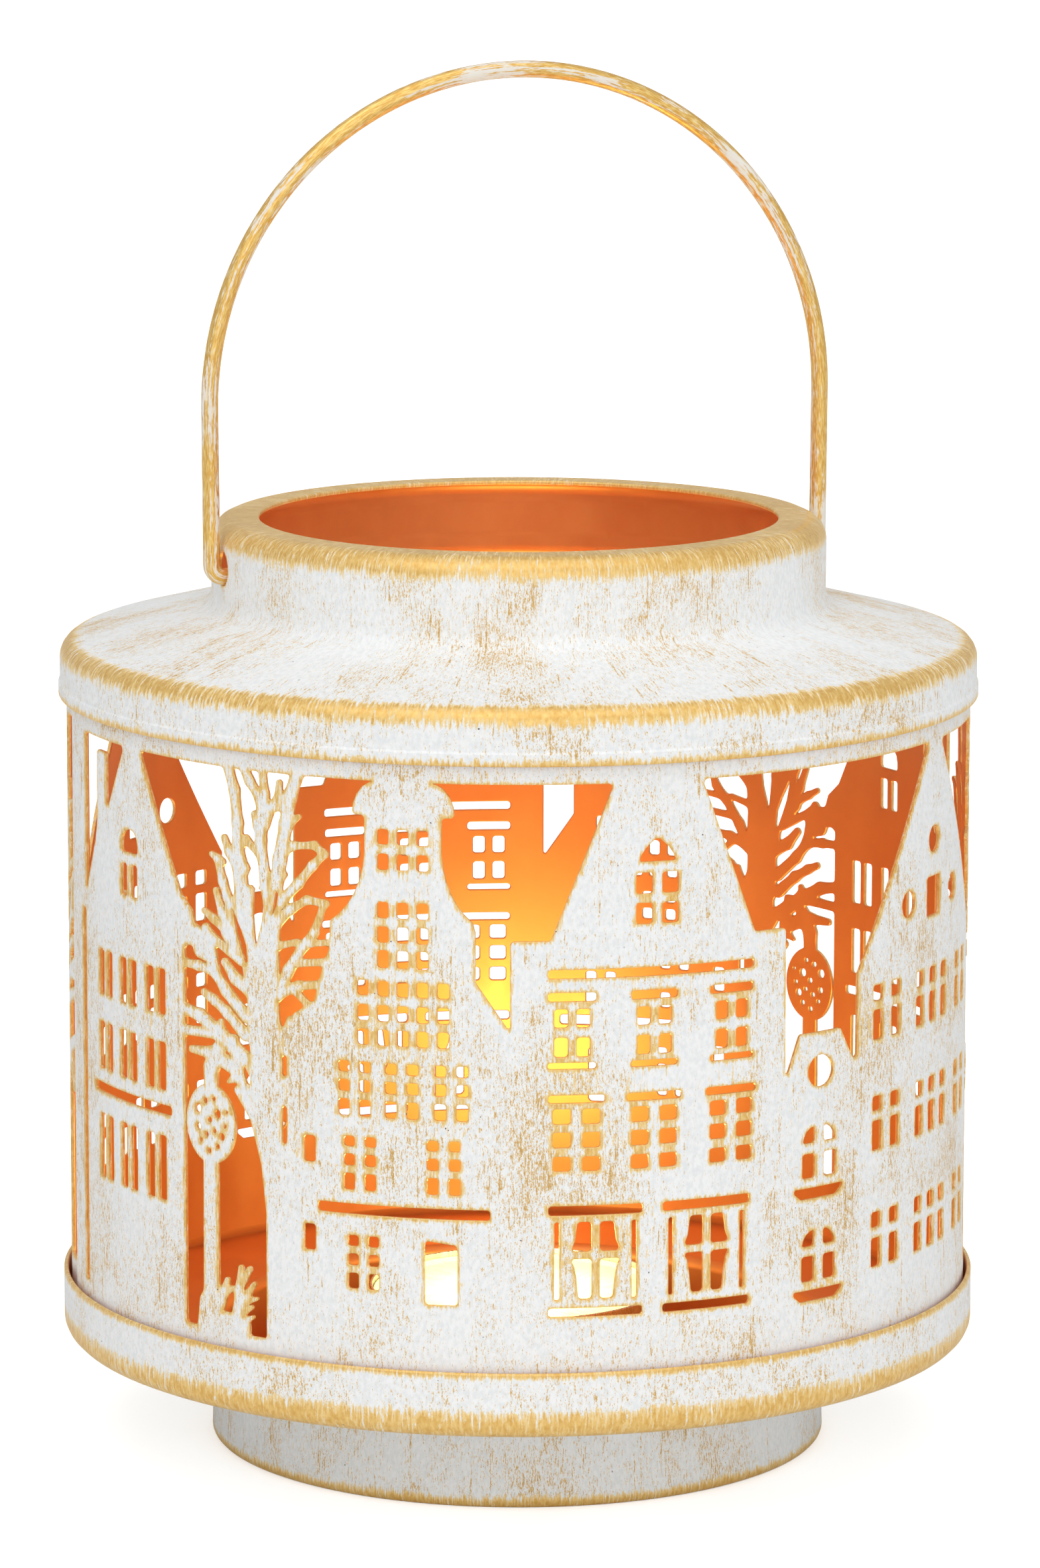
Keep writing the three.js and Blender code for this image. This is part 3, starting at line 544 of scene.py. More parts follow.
# Distance to tapering rods that flow together: minus the log of summed exponentials, clipped to finite ones.
def rodsDistance(x, h, rods, blend):
    total = np.zeros(np.broadcast(x, h).shape)
    for x0, h0, x1, h1, w0, w1 in rods:
        ex, eh = x1 - x0, h1 - h0
        t = np.clip(((x - x0) * ex + (h - h0) * eh) / (ex * ex + eh * eh), 0, 1)
        far = np.hypot(x - x0 - ex * t, h - h0 - eh * t) - (w0 + (w1 - w0) * t) / 2
        total += np.exp(np.clip(-far / blend, -60, 60))
    return -blend * np.log(np.maximum(total, 1e-26))


# Distance to an ellipse, nearly: its scaled radius less one, over the steepness of that radius.
def ellipseDistance(x, h, cx, ch, rx, rh):
    scale = np.hypot((x - cx) / rx, (h - ch) / rh)
    slope = np.hypot((x - cx) / rx**2, (h - ch) / rh**2)
    return np.where(slope > 1e-9, scale * (scale - 1) / np.maximum(slope, 1e-9), -min(rx, rh))


# The street as one field: its panes, rounds and outlines, the air between the limbs, and the ball's holes.
def drawStreet():
    field = SheetField(wall["streetStart"], -1.0, wall["streetLength"], wall["drawingHeight"] + 2.0)
    for box in boxes:
        where, x, h = field.window(*box)
        field.cut(where, boxDistance(x, h, box, wall["paneCorner"]))
    for cx, ch, rx, rh in rounds:
        where, x, h = field.window(cx - rx, ch - rh, cx + rx, ch + rh)
        field.cut(where, ellipseDistance(x, h, cx, ch, rx, rh))
    for outline in outlines:
        shape = roundedOutline(outline, wall["gapCorner"])
        where, x, h = field.window(*shape.min(0), *shape.max(0))
        field.cut(where, outlineDistance(x, h, shape))
    blend = wall["forkBlend"]
    for garden, limbs, ball in zip(gardens, (gardenLimbs, seamLimbs), (clippedBall, None)):
        shape = roundedOutline(garden, wall["gapCorner"])
        where, x, h = field.window(*shape.min(0), *shape.max(0))
        growth = rodsDistance(x, h, np.vstack([limbRods(limb) for limb in limbs]), blend)
        if ball:
            growth = np.minimum(growth, ellipseDistance(x, h, *ball["at"], ball["across"], ball["up"]))
        ground = outlineDistance(x, h, shape)
        field.cut(where, blend * np.logaddexp(ground / blend, -growth / blend))
    for cx, ch, radius in clippedBall["holes"]:
        where, x, h = field.window(cx - 1, ch - 1, cx + 1, ch + 1)
        field.cut(where, ellipseDistance(x, h, cx, ch, radius, clippedBall["holeStretch"] * radius))
    return field


# Where the field crosses a level: points on the grid's edges, and the pairs of them that each cell joins.
def levelLines(field, level):
    above = field.value - level
    above = np.where(np.abs(above) < 1e-4, 1e-4, above)  # so that no grid point lies on the level itself
    over = above > 0
    rows, columns = above.shape
    flat = np.flatnonzero(over[:, :-1] != over[:, 1:])
    r, c = np.divmod(flat, columns - 1)
    t = above[r, c] / (above[r, c] - above[r, c + 1])
    points = [np.column_stack([field.x0 + field.step * (c + t), field.h0 + field.step * r])]
    lying = np.full((rows, columns), -1)
    lying[r, c] = np.arange(len(r))
    r, c = np.nonzero(over[:-1] != over[1:])
    t = above[r, c] / (above[r, c] - above[r + 1, c])
    points.append(np.column_stack([field.x0 + field.step * c, field.h0 + field.step * (r + t)]))
    upright = np.full((rows, columns), -1)
    upright[r, c] = len(points[0]) + np.arange(len(r))
    sides = [lying[:-1, :-1], upright[:-1, 1:], lying[1:, :-1], upright[:-1, :-1]]
    sides = np.stack(sides, -1).reshape(-1, 4)
    count = (sides >= 0).sum(1)
    two = sides[count == 2]
    links = [two[two >= 0].reshape(-1, 2)]
    four = sides[count == 4]
    links += [four[:, [0, 1]], four[:, [2, 3]]]
    return np.vstack(points), np.vstack(links)


# Drops points that lie on the line between their neighbours, a set of unconnected ones at a time.
def thinned(points, links, slack, longest, rounds=24):
    ends = np.concatenate([links, links[:, ::-1]])
    order = np.argsort(ends[:, 0], kind="stable")
    ends = ends[order]
    first = np.searchsorted(ends[:, 0], np.arange(len(points)))
    degree = np.bincount(ends[:, 0], minlength=len(points))
    mates = np.full((len(points), 2), -1)
    for k in (0, 1):
        has = degree > k
        mates[has, k] = ends[first[has] + k, 1]
    fixed = degree != 2
    alive = degree > 0
    rank = np.random.default_rng(4).permutation(len(points)).astype(float)
    for _ in range(rounds):
        who = np.flatnonzero(alive & ~fixed)
        a, b = points[mates[who, 0]], points[mates[who, 1]]
        span = b - a
        length = np.hypot(*span.T)
        away = points[who] - a
        off = np.abs(span[:, 0] * away[:, 1] - span[:, 1] * away[:, 0]) / np.maximum(length, 1e-9)
        wanted = np.full(len(points), np.inf)
        good = (off < slack) & (length < longest)
        wanted[who[good]] = rank[who[good]]
        drop = who[good & (wanted[who] < wanted[mates[who, 0]]) & (wanted[who] < wanted[mates[who, 1]])]
        if not len(drop):
            break
        for near, far in ((0, 1), (1, 0)):
            here, there = mates[drop, near], mates[drop, far]
            slot = np.where(mates[here, 0] == drop, 0, 1)
            mates[here, slot] = there
        alive[drop] = False
    kept = np.flatnonzero(alive)
    number = np.full(len(points), -1)
    number[kept] = np.arange(len(kept))
    pairsLeft = np.vstack([np.column_stack([kept, mates[kept, k]]) for k in (0, 1)])
    pairsLeft = pairsLeft[(pairsLeft[:, 1] >= 0) & (pairsLeft[:, 0] < pairsLeft[:, 1])]
    return points[kept], number[pairsLeft]


# Triangles of a flat stretch of sheet: rings at set distances from the cuts, a border, even points between.
def flatTriangles(field, low, high, spacing):
    x0, x1 = field.x0, field.x1
    rowsUp = np.linspace(low, high, round((high - low) / spacing) + 1)
    across = np.linspace(x0, x1, round((x1 - x0) / spacing) + 1)
    left = np.column_stack([np.full(len(rowsUp), x0), rowsUp])
    right = np.column_stack([np.full(len(rowsUp), x1), rowsUp])
    bottom = np.column_stack([across[1:-1], np.full(len(across) - 2, low)])
    top = np.column_stack([across[1:-1], np.full(len(across) - 2, high)])
    points = [left, right, bottom, top]
    links, count = [], sum(map(len, points))
    for level, slack, longest in wall["rings"]:
        ring, joins = thinned(*levelLines(field, level), slack, longest)
        points.append(ring)
        links.append(joins + count)
        count += len(ring)
    gridX, gridH = np.meshgrid(across[1:-1], rowsUp[1:-1])
    stagger = spacing / 4
    gridX[::2] += stagger
    gridX[1::2] -= stagger
    between = np.column_stack([gridX.ravel(), gridH.ravel()])
    points.append(between[field.sample(field.value, between) > wall["rings"][-1][0] + wall["ringRoom"]])
    points = np.vstack(points)
    found = geometry.delaunay_2d_cdt([Vector(p) for p in points], np.vstack(links).tolist(), [], 0, 1e-5)
    spots = np.array([v[:] for v in found[0]])
    triangles = np.array(found[2])
    middle = spots[triangles].mean(1)
    return spots, triangles[field.sample(field.value, middle) > 0]


# A new object in the scene.
def placed(name, data):
    thing = bpy.data.objects.new(name, data)
    bpy.context.scene.collection.objects.link(thing)
    return thing


# One mesh from arrays in millimetres. Each group of faces has its material and its normals at the corners.
def makePiece(name, points, groups, materials, attributes, body="lantern"):
    mesh = bpy.data.meshes.new(name)
    _, keep, number = np.unique(np.round(points, 4), axis=0, return_index=True, return_inverse=True)
    number = number.ravel()
    corners = np.concatenate([number[faces.ravel()] for faces, _, _ in groups])
    totals = np.concatenate([np.full(len(faces), faces.shape[1]) for faces, _, _ in groups])
    index = np.concatenate([np.full(len(faces), slot) for faces, _, slot in groups])
    normals = np.concatenate([vertexNormals[faces.ravel()] for faces, vertexNormals, _ in groups])
    mesh.vertices.add(len(keep))
    mesh.vertices.foreach_set("co", (points[keep] * mm).ravel())
    mesh.loops.add(len(corners))
    mesh.loops.foreach_set("vertex_index", corners.astype(np.int32))
    mesh.polygons.add(len(totals))
    mesh.polygons.foreach_set("loop_start", np.concatenate([[0], np.cumsum(totals)[:-1]]).astype(np.int32))
    mesh.polygons.foreach_set("loop_total", totals.astype(np.int32))
    mesh.polygons.foreach_set("material_index", index.astype(np.int32))
    mesh.polygons.foreach_set("use_smooth", np.ones(len(totals), bool))
    for label, values in attributes:
        kind = "FLOAT" if np.ndim(values) == 1 else "FLOAT_VECTOR"
        layer = mesh.attributes.new(label, kind, "POINT")
        field = "value" if kind == "FLOAT" else "vector"
        layer.data.foreach_set(field, values[keep].astype(np.float32).ravel())
    mesh.update()
    mesh.validate()
    mesh.normals_split_custom_set(normals)
    for material in materials:
        mesh.materials.append(material)
    piece = placed(name, mesh)
    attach(piece, body)
    print(name, "made:", (totals - 2).sum(), "triangles")
    return piece


# Flat sheet to a solid one: front, back, and a side face along every edge that only one triangle has.
def sheetShell(spots, triangles):
    edges = np.concatenate([triangles[:, [0, 1]], triangles[:, [1, 2]], triangles[:, [2, 0]]])
    key = np.sort(edges, 1)
    _, first, count = np.unique(key[:, 0] * len(spots) + key[:, 1], return_index=True, return_counts=True)
    rim = edges[first[count == 1]]
    behind = len(spots)
    sides = np.column_stack([rim[:, 1], rim[:, 0], rim[:, 0] + behind, rim[:, 1] + behind])
    return triangles, triangles[:, ::-1] + behind, sides


# Unit vector along the sheet towards the nearest cut, from the field's steepest fall.
def fallDirection(field, spots):
    up, along = np.gradient(field.value, field.step)
    return -unit(np.column_stack([field.sample(along, spots), field.sample(up, spots)]))


# Flat parts laid side by side as one: [spots, triangles, distance to a cut, direction of the cut].
def joinedFlat(parts):
    offsets = np.cumsum([0] + [len(part[0]) for part in parts])
    flat = np.vstack([part[0] for part in parts])
    faces = np.vstack([part[1] + offset for part, offset in zip(parts, offsets)])
    distance = np.concatenate([part[2] for part in parts])
    fall = np.vstack([part[3] for part in parts])
    _, keep, number = np.unique(np.round(flat, 4), axis=0, return_index=True, return_inverse=True)
    return flat[keep], number.ravel()[faces], distance[keep], fall[keep]


# Flat sheet rolled up: azimuth is x over the rolling radius. Cut edges are tucked in and lean to the cut.
def rolledSheet(flat, faces, distance, fall, rollRadius, radius, thickness, heights):
    front, back, sides = sheetShell(flat, faces)
    x, h = flat.T
    atCut = distance < 0.5 * wall["roundEdge"]
    tuck = np.where(atCut, wall["roundEdge"], 0)
    angle = x / rollRadius
    outward = np.column_stack([np.sin(angle), -np.cos(angle), np.zeros(len(x))])
    along = np.column_stack([np.cos(angle), np.sin(angle), np.zeros(len(x))])
    upward = np.array([0.0, 0.0, 1.0])
    lift = heights[:, None] * upward
    outer = outward * (radius - tuck)[:, None] + lift
    inner = outward * (radius - thickness + tuck)[:, None] + lift
    aside = fall[:, :1] * along + fall[:, 1:] * upward
    lean = wall["edgeLean"] * atCut[:, None] * aside
    flatNormals = np.vstack([unit(outward + lean), unit(lean - outward)])
    onRow = (np.abs(h - h.min()) < 1e-3) | (np.abs(h - h.max()) < 1e-3)
    level = np.sign(h - h.mean())[:, None] * upward
    upright = np.sign(x - (x.min() + x.max()) / 2)[:, None] * along
    sideNormal = np.where(atCut[:, None], unit(aside), np.where(onRow[:, None], level, upright))
    return np.vstack([outer, inner]), front, back, sides, flatNormals, np.vstack([sideNormal, sideNormal])


# A plain strip between places along the sheet, on the street's own rows.
def plainStrip(xs, rows):
    x, h = np.meshgrid(xs, rows)
    at = np.arange(x.size).reshape(x.shape)
    a, b, c, d = at[:-1, :-1].ravel(), at[:-1, 1:].ravel(), at[1:, 1:].ravel(), at[1:, :-1].ravel()
    faces = np.vstack([np.column_stack([a, b, c]), np.column_stack([a, c, d])])
    return np.column_stack([x.ravel(), h.ravel()]), faces, np.full(x.size, farOff), np.zeros((x.size, 2))


# The rolled wall: two copies of the street and the seam's strip, with the last end passing under the first.
def makeWall(materials):
    field = drawStreet()
    heightPerMm = (wall["eavesLine"] - wall["footLine"]) / wall["drawingHeight"]
    low = (wall["low"] - wall["footLine"]) / heightPerMm
    high = (wall["high"] - wall["footLine"]) / heightPerMm
    spots, triangles = flatTriangles(field, low, high, wall["pointStep"])
    distance = np.maximum(field.sample(field.value, spots), 0)
    fall = fallDirection(field, spots)
    length, start = wall["streetLength"], wall["streetStart"]
    rows = np.unique(np.round(spots[np.abs(spots[:, 0] - start) < tiny, 1], 6))
    end = start + 2 * length
    streets = [(spots + [shift, 0], triangles, distance, fall) for shift in (0, length)]
    before = plainStrip(np.linspace(start - wall["seamStrip"], start, 4), rows)
    after = plainStrip(end + np.linspace(0, wall["lapWidth"], 4), rows)
    flat, faces, distance, fall = joinedFlat([*streets, before, after])
    easing = 0.5 - 0.5 * np.cos(np.pi * np.clip((flat[:, 0] - end) / wall["lapEasing"] + 1, 0, 1))
    radius = wall["radius"] - (wall["sheet"] + wall["lapGap"]) * easing
    heights = wall["footLine"] + heightPerMm * flat[:, 1]
    rolled = rolledSheet(flat, faces, distance, fall, wall["radius"], radius, wall["sheet"], heights)
    points, front, back, sides, flatNormals, sideNormals = rolled
    groups = [(front, flatNormals, 0), (back, flatNormals, 1), (sides, sideNormals, 0)]
    wear = np.minimum(np.concatenate([distance, distance]), farOff)
    piece = makePiece("street_wall", points, groups, materials, [("wear", wear), ("brush", points)])
    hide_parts("pierced_wall")


# A closed profile in (radius, height): each corner becomes an arc, and every point has its outward normal.
def profileOf(corners, steps=5, longest=1.5):
    at = np.array([corner[:2] for corner in corners], float)
    radius = np.array([corner[2] for corner in corners], float)
    back, on, _, _, half = cornerEdges(at)
    reach = (radius / np.tan(half))[:, None]
    centre = at + unit(back + on) * (radius / np.sin(half))[:, None]
    turnLeft = back[:, 0] * on[:, 1] - back[:, 1] * on[:, 0] < 0
    t = np.linspace(0, 1, steps + 1)[None, :, None]
    first, last = [unit(at + edge * reach - centre)[:, None] for edge in (back, on)]
    spokes = unit((1 - t) * first + t * last)
    points = centre[:, None] + spokes * radius[:, None, None]
    normals = spokes * np.where(turnLeft, 1, -1)[:, None, None]
    points, normals = points.reshape(-1, 2), normals.reshape(-1, 2)
    fullPoints, fullNormals = [], []
    for a, b, na, nb in zip(points, np.roll(points, -1, 0), normals, np.roll(normals, -1, 0)):
        count = max(1, math.ceil(np.hypot(*(b - a)) / longest))
        share = np.arange(count)[:, None] / count
        fullPoints.append(a + (b - a) * share)
        fullNormals.append(unit(na + (nb - na) * share))
    return np.vstack(fullPoints), np.vstack(fullNormals)


# A profile turned about the Z axis: radius times sine and minus cosine of even angles, at the same height.
def turnedFaces(profile, normals, segments, closed=True):
    angle = 2 * np.pi * np.arange(segments) / segments
    spoke = np.column_stack([np.sin(angle), -np.cos(angle)])
    rings = len(profile)
    points = np.empty((rings, segments, 3))
    points[..., :2] = profile[:, None, :1] * spoke
    points[..., 2] = profile[:, None, 1]
    vertexNormals = np.empty_like(points)
    vertexNormals[..., :2] = normals[:, None, :1] * spoke
    vertexNormals[..., 2] = normals[:, None, 1]
    at = np.arange(rings * segments).reshape(rings, segments)
    here = at if closed else at[:-1]
    there = np.roll(at, -1, 0) if closed else at[1:]
    faces = np.stack([here, np.roll(here, -1, 1), np.roll(there, -1, 1), there], -1).reshape(-1, 4)
    brush = points.reshape(-1, 3).copy()
    run = np.concatenate([[0], np.cumsum(np.hypot(*np.diff(profile, axis=0).T))])
    brush[:, :2] = np.repeat(brushRadius * spoke[None], rings, 0).reshape(-1, 2)
    brush[:, 2] = np.repeat(run, segments)
    return points.reshape(-1, 3), faces, vertexNormals.reshape(-1, 3), brush


# How far each point is from the worn lines: (radius, height, reach, fade) of each, in lengths of its fade.
def wornDistance(points, lines):
    radius = np.hypot(points[:, 0], points[:, 1])
    far = [(np.hypot(radius - r, points[:, 2] - z) - reach) / fade for r, z, reach, fade in lines]
    return np.clip(np.min(far, axis=0), 0, farOff)


# A round wire along a line of points: rings square to the line, closed with a domed end.
def wireFaces(line, radius, sides, flat):
    line = np.asarray(line, float)
    flat = np.asarray(flat, float)
    ahead = unit(np.gradient(line, axis=0))
    dome = np.radians([8, 30, 55, 75, 90])  # places of the end's rings, from its tip to the wire
    grow = np.concatenate([np.sin(dome), np.ones(len(line) - 2), np.sin(dome)[::-1]])
    lean = np.concatenate([-np.cos(dome), np.zeros(len(line) - 2), np.cos(dome)[::-1]])
    back = (radius * (1 - np.cos(dome)))[:, None]
    centres = np.vstack([line[0] + ahead[0] * back, line[1:-1], (line[-1] - ahead[-1] * back)[::-1]])
    ends = np.zeros(len(dome), int)
    ahead = ahead[np.concatenate([ends, np.arange(1, len(line) - 1), ends - 1])]
    turn = 2 * np.pi * np.arange(sides) / sides
    around = flat * np.cos(turn)[:, None] + np.cross(ahead, flat)[:, None] * np.sin(turn)[:, None]
    points = centres[:, None] + around * (radius * grow)[:, None, None]
    normals = unit(around * np.sqrt(1 - lean**2)[:, None, None] + ahead[:, None] * lean[:, None, None])
    at = np.arange(len(centres) * sides).reshape(-1, sides)
    faces = np.stack([at[:-1], np.roll(at[:-1], -1, 1), np.roll(at[1:], -1, 1), at[1:]], -1).reshape(-1, 4)
    caps = [
        np.column_stack([at[0, 2:], at[0, 1:-1], np.full(sides - 2, at[0, 0])]),
        np.column_stack([at[-1, 1:-1], at[-1, 2:], np.full(sides - 2, at[-1, 0])]),
    ]
    brush = np.empty_like(points)
    brush[..., 0], brush[..., 1] = radius * np.cos(turn), radius * np.sin(turn)
    run = np.concatenate([[0], np.cumsum(np.linalg.norm(np.diff(centres, axis=0), axis=1))])
    brush[..., 2] = run[:, None]
    return points.reshape(-1, 3), faces, np.vstack(caps), normals.reshape(-1, 3), brush.reshape(-1, 3)


# Points added to a profile's upright runs at given heights, so that a band can be taken out between them.
def withHeights(profile, normals, heights, reach):
    points, directions = [], []
    for a, b, normal in zip(profile, np.roll(profile, -1, 0), normals):
        points.append(a)
        directions.append(normal)
        if abs(a[0] - b[0]) < tiny and reach[0] < a[0] < reach[1]:
            inside = [h for h in heights if min(a[1], b[1]) + tiny < h < max(a[1], b[1]) - tiny]
            for h in sorted(inside, reverse=bool(b[1] < a[1])):
                points.append(np.array([a[0], h]))
                directions.append(normal)
    return np.array(points), np.array(directions)


# The lid's section, with points on the neck where its band of holes begins and ends.
def lidProfile():
    thick, skirt, neck = lid["sheet"], lid["skirtRadius"] - lid["hemProud"], lid["neckRadius"]
    slope = math.tan(math.radians(lid["shoulderSlope"]))
    drop = thick / math.cos(math.radians(lid["shoulderSlope"])) - thick * slope
    corner, low, top = lid["skirtCorner"], lid["skirtBottom"], lid["neckTop"]
    root, hem = corner + (skirt - neck) * slope, low + lid["hemHeight"]
    mouth, mouthLip = lid["mouthRadius"], lid["mouthLip"]
    corners = [
        (lid["skirtRadius"], low, lid["skirtLip"]), (lid["skirtRadius"], hem, lid["hemEdge"]),
        (skirt, hem + lid["hemStep"], lid["hemEdge"]), (skirt, corner, lid["edgeRadius"]),
        (neck, root, lid["rootRadius"]), (neck, top, lid["rimRadius"]), (mouth, top, mouthLip),
        (mouth, top - thick, mouthLip), (neck - thick, top - thick, lid["rimRadius"] - thick),
        (neck - thick, root - drop, lid["rootRadius"] + thick),
        (skirt - thick, corner - drop, lid["edgeRadius"] - thick), (skirt - thick, low, lid["skirtLip"]),
    ]
    profile, normals = profileOf(corners)
    return withHeights(profile, normals, (lid["bandLow"], lid["bandHigh"]), (neck - 1, neck + 1))


# The neck's upright band: a flat sheet with a hole for each end of the bail, rolled up.
def neckBand():
    neck, low, high = lid["neckRadius"], lid["bandLow"], lid["bandHigh"]
    half = math.pi * neck
    field = SheetField(-half / 2, low, half, high - low)
    hole = 0, lid["holeHeight"], lid["holeWidth"] / 2, lid["holeLength"] / 2
    field.cut(slice(None), ellipseDistance(field.x[None], field.h[:, None], *hole))
    spots, triangles = flatTriangles(field, low, high, 2 * half / lid["segments"])
    distance, fall = np.maximum(field.sample(field.value, spots), 0), fallDirection(field, spots)
    first = math.radians(bail["turn"] + 90) * neck
    halves = [(spots + [first + shift, 0], triangles, distance, fall) for shift in (0, half)]
    flat, faces, distance, fall = joinedFlat(halves)
    rolled = rolledSheet(flat, faces, distance, fall, neck, neck, lid["sheet"], flat[:, 1])
    points, front, back, sides, flatNormals, sideNormals = rolled
    distance = np.concatenate([distance, distance])
    sides = sides[(distance[sides] < 0.5 * wall["roundEdge"]).all(1)]
    return points, front, back, sides, flatNormals, sideNormals, distance


# The lid: its turned section without the neck's band, and that band with its holes.
def makeLid(materials):
    neck, thick, segments = lid["neckRadius"], lid["sheet"], lid["segments"]
    bandLow, bandHigh = lid["bandLow"], lid["bandHigh"]
    profile, normals = lidProfile()
    points, faces, vertexNormals, brush = turnedFaces(profile, normals, segments)
    onNeck = np.abs(profile[:, 0] - neck + thick / 2) < thick
    inBand = onNeck & (profile[:, 1] > bandLow - tiny) & (profile[:, 1] < bandHigh + tiny)
    faces = faces[~np.repeat(inBand & np.roll(inBand, -1), segments)]
    underRim = np.hypot(profile[:, 0] - lid["mouthRadius"], profile[:, 1] - lid["neckTop"] + thick)
    inward = np.repeat(np.arange(len(profile)) >= underRim.argmin(), segments)
    inner = inward[faces].all(1)
    bandPoints, front, back, sides, flatNormals, sideNormals, distance = neckBand()
    fromBand = np.abs(points[:, 2] - bandLow) + np.abs(np.hypot(points[:, 0], points[:, 1]) - neck)
    run = brush[fromBand.argmin(), 2] + bandPoints[:, 2] - bandLow
    bandBrush = np.column_stack([unit(bandPoints[:, :2]) * brushRadius, run])
    count = len(points)
    before = np.zeros((count, 3))
    flatNormals, sideNormals = np.vstack([before, flatNormals]), np.vstack([before, sideNormals])
    groups = [
        (faces[~inner], vertexNormals, 0), (faces[inner], vertexNormals, 1), (front + count, flatNormals, 0),
        (back + count, flatNormals, 1), (sides + count, sideNormals, 0),
    ]
    points = np.vstack([points, bandPoints])
    distance = np.concatenate([np.full(count, farOff), distance])
    wear = np.minimum(wornDistance(points, lid["worn"]), distance)
    attributes = [("wear", wear), ("brush", np.vstack([brush, bandBrush]))]
    piece = makePiece("pressed_lid", points, groups, materials, attributes)
    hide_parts("neck_lid")


# A solid turned about the Z axis, from corners that run from the axis at its foot to the axis at its top.
# The profile is drawn past the axis and cut off near it, and a fan closes each end.
def turnedSolid(corners, segments):
    (_, foot, _), (_, top, _) = corners[0], corners[-1]
    pastAxis, nearAxis, least = -1.0, 0.02, 0.001
    profile, normals = profileOf([(pastAxis, foot, least), *corners[1:-1], (pastAxis, top, least)])
    keep = profile[:, 0] > nearAxis
    profile, normals = profile[keep], normals[keep]
    points, faces, vertexNormals, brush = turnedFaces(profile, normals, segments, closed=False)
    ring, count = np.arange(segments), len(points)
    last = count - segments + ring
    bottom = np.column_stack([np.roll(ring, -1), ring, np.full(segments, count)])
    cap = np.column_stack([last, np.roll(last, -1), np.full(segments, count + 1)])
    points = np.vstack([points, [[0, 0, foot], [0, 0, top]]])
    vertexNormals = np.vstack([vertexNormals, [[0, 0, -1], [0, 0, 1]]])
    brush = np.vstack([brush, np.zeros((2, 3))])
    return profile, points, faces, bottom, cap, vertexNormals, brush


# The pan: a rim, a floor and the deep well that is also its foot, in one turned section.
def makePan(materials):
    thick, radius, under, rim = pan["sheet"], pan["radius"], pan["underside"], pan["rimTop"]
    foot, footTop, root = pan["footRadius"], pan["footTopRadius"], pan["rootRadius"]
    edge, footEdge, lip = pan["edgeRadius"], pan["footEdge"], pan["rimLip"]
    corners = [
        (0, 0, 0), (foot, 0, footEdge), (footTop, under, root), (radius, under, edge),
        (radius, rim, lip), (radius - thick, rim, lip), (radius - thick, under + thick, edge - thick),
        (footTop - thick, under + thick, root + thick), (foot - thick, thick, footEdge - thick / 2),
        (0, thick, 0),
    ]
    profile, points, faces, bottom, floor, vertexNormals, brush = turnedSolid(corners, pan["segments"])
    rimRing = np.hypot(profile[:, 0] - radius + thick, profile[:, 1] - rim).argmin()
    inner = (faces // pan["segments"] >= rimRing).all(1)
    groups = [
        (faces[~inner], vertexNormals, 0), (bottom, vertexNormals, 0),
        (faces[inner], vertexNormals, 1), (floor, vertexNormals, 1),
    ]
    wear = wornDistance(points, pan["worn"])
    piece = makePiece("pressed_pan", points, groups, materials, [("wear", wear), ("brush", brush)])
    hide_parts("base_pan")


# A turned solid of the candle in one material.
def candleSolid(name, corners, segments, material):
    _, points, faces, bottom, cap, normals, brush = turnedSolid(corners, segments)
    groups = [(part, normals, 0) for part in (faces, bottom, cap)]
    return makePiece(name, points, groups, [material], [("brush", brush)], "tealight")


def makeCup(material):
    base, radius, thin = candle["cupBottom"], candle["cupRadius"], candle["cupWall"]
    top = base + candle["cupHeight"]
    corners = [
        (0, base, 0), (radius, base, candle["cupEdge"]), (radius, top, candle["cupLip"]),
        (radius - thin, top, candle["cupLip"]), (radius - thin, base + thin, candle["cupEdge"] - thin),
        (0, base + thin, 0),
    ]
    cup = candleSolid("candle_cup", corners, candle["segments"], material)
    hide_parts("tealight_cup")


# Heights inside the candle: foot and top of the wax, top of the tab's plate, foot of its bore.
waxFoot = candle["cupBottom"] + candle["cupWall"] + candle["gap"]
waxTop = candle["cupBottom"] + candle["cupHeight"] - candle["waxBelowRim"]
tabTop = waxFoot + candle["tabThickness"]
boreFoot = tabTop + candle["boreFloor"]


# The wax: a rim that climbs the cup, a melted pool with its dip, and room inside for the wick and the tab.
def makeWax(material):
    gap, sharp, soft = candle["gap"], candle["sharpEdge"], candle["softEdge"]
    radius, climbed = candle["cupRadius"] - candle["cupWall"] - gap, waxTop + candle["waxClimb"]
    inner = ("tabRadius", "collarRadius", "wickRadius")
    tabHole, collarHole, wickHole = [candle[name] + gap for name in inner]
    tabRoom = waxFoot + candle["tabThickness"] + 2 * gap
    collarRoom = tabRoom + candle["collarRoom"]
    corners = [
        (tabHole, waxFoot, sharp), (radius, waxFoot, candle["waxFootEdge"]), (radius, climbed, soft),
        (radius - candle["waxRimWidth"], climbed, soft),
        (radius - candle["waxRimReach"], waxTop, candle["poolEdge"]),
        (wickHole + candle["dipReach"], waxTop - candle["dip"], candle["dipEdge"]),
        (wickHole, waxTop + candle["wickCling"], candle["clingEdge"]), (wickHole, collarRoom, sharp),
        (collarHole, collarRoom, sharp), (collarHole, tabRoom, sharp), (tabHole, tabRoom, sharp),
    ]
    profile, normals = profileOf(corners, 3)
    points, faces, normals, brush = turnedFaces(profile, normals, candle["segments"])
    groups = [(faces, normals, 0)]
    wax = makePiece("candle_wax", points, groups, [material], [("brush", brush)], "tealight")
    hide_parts("tealight_wax")


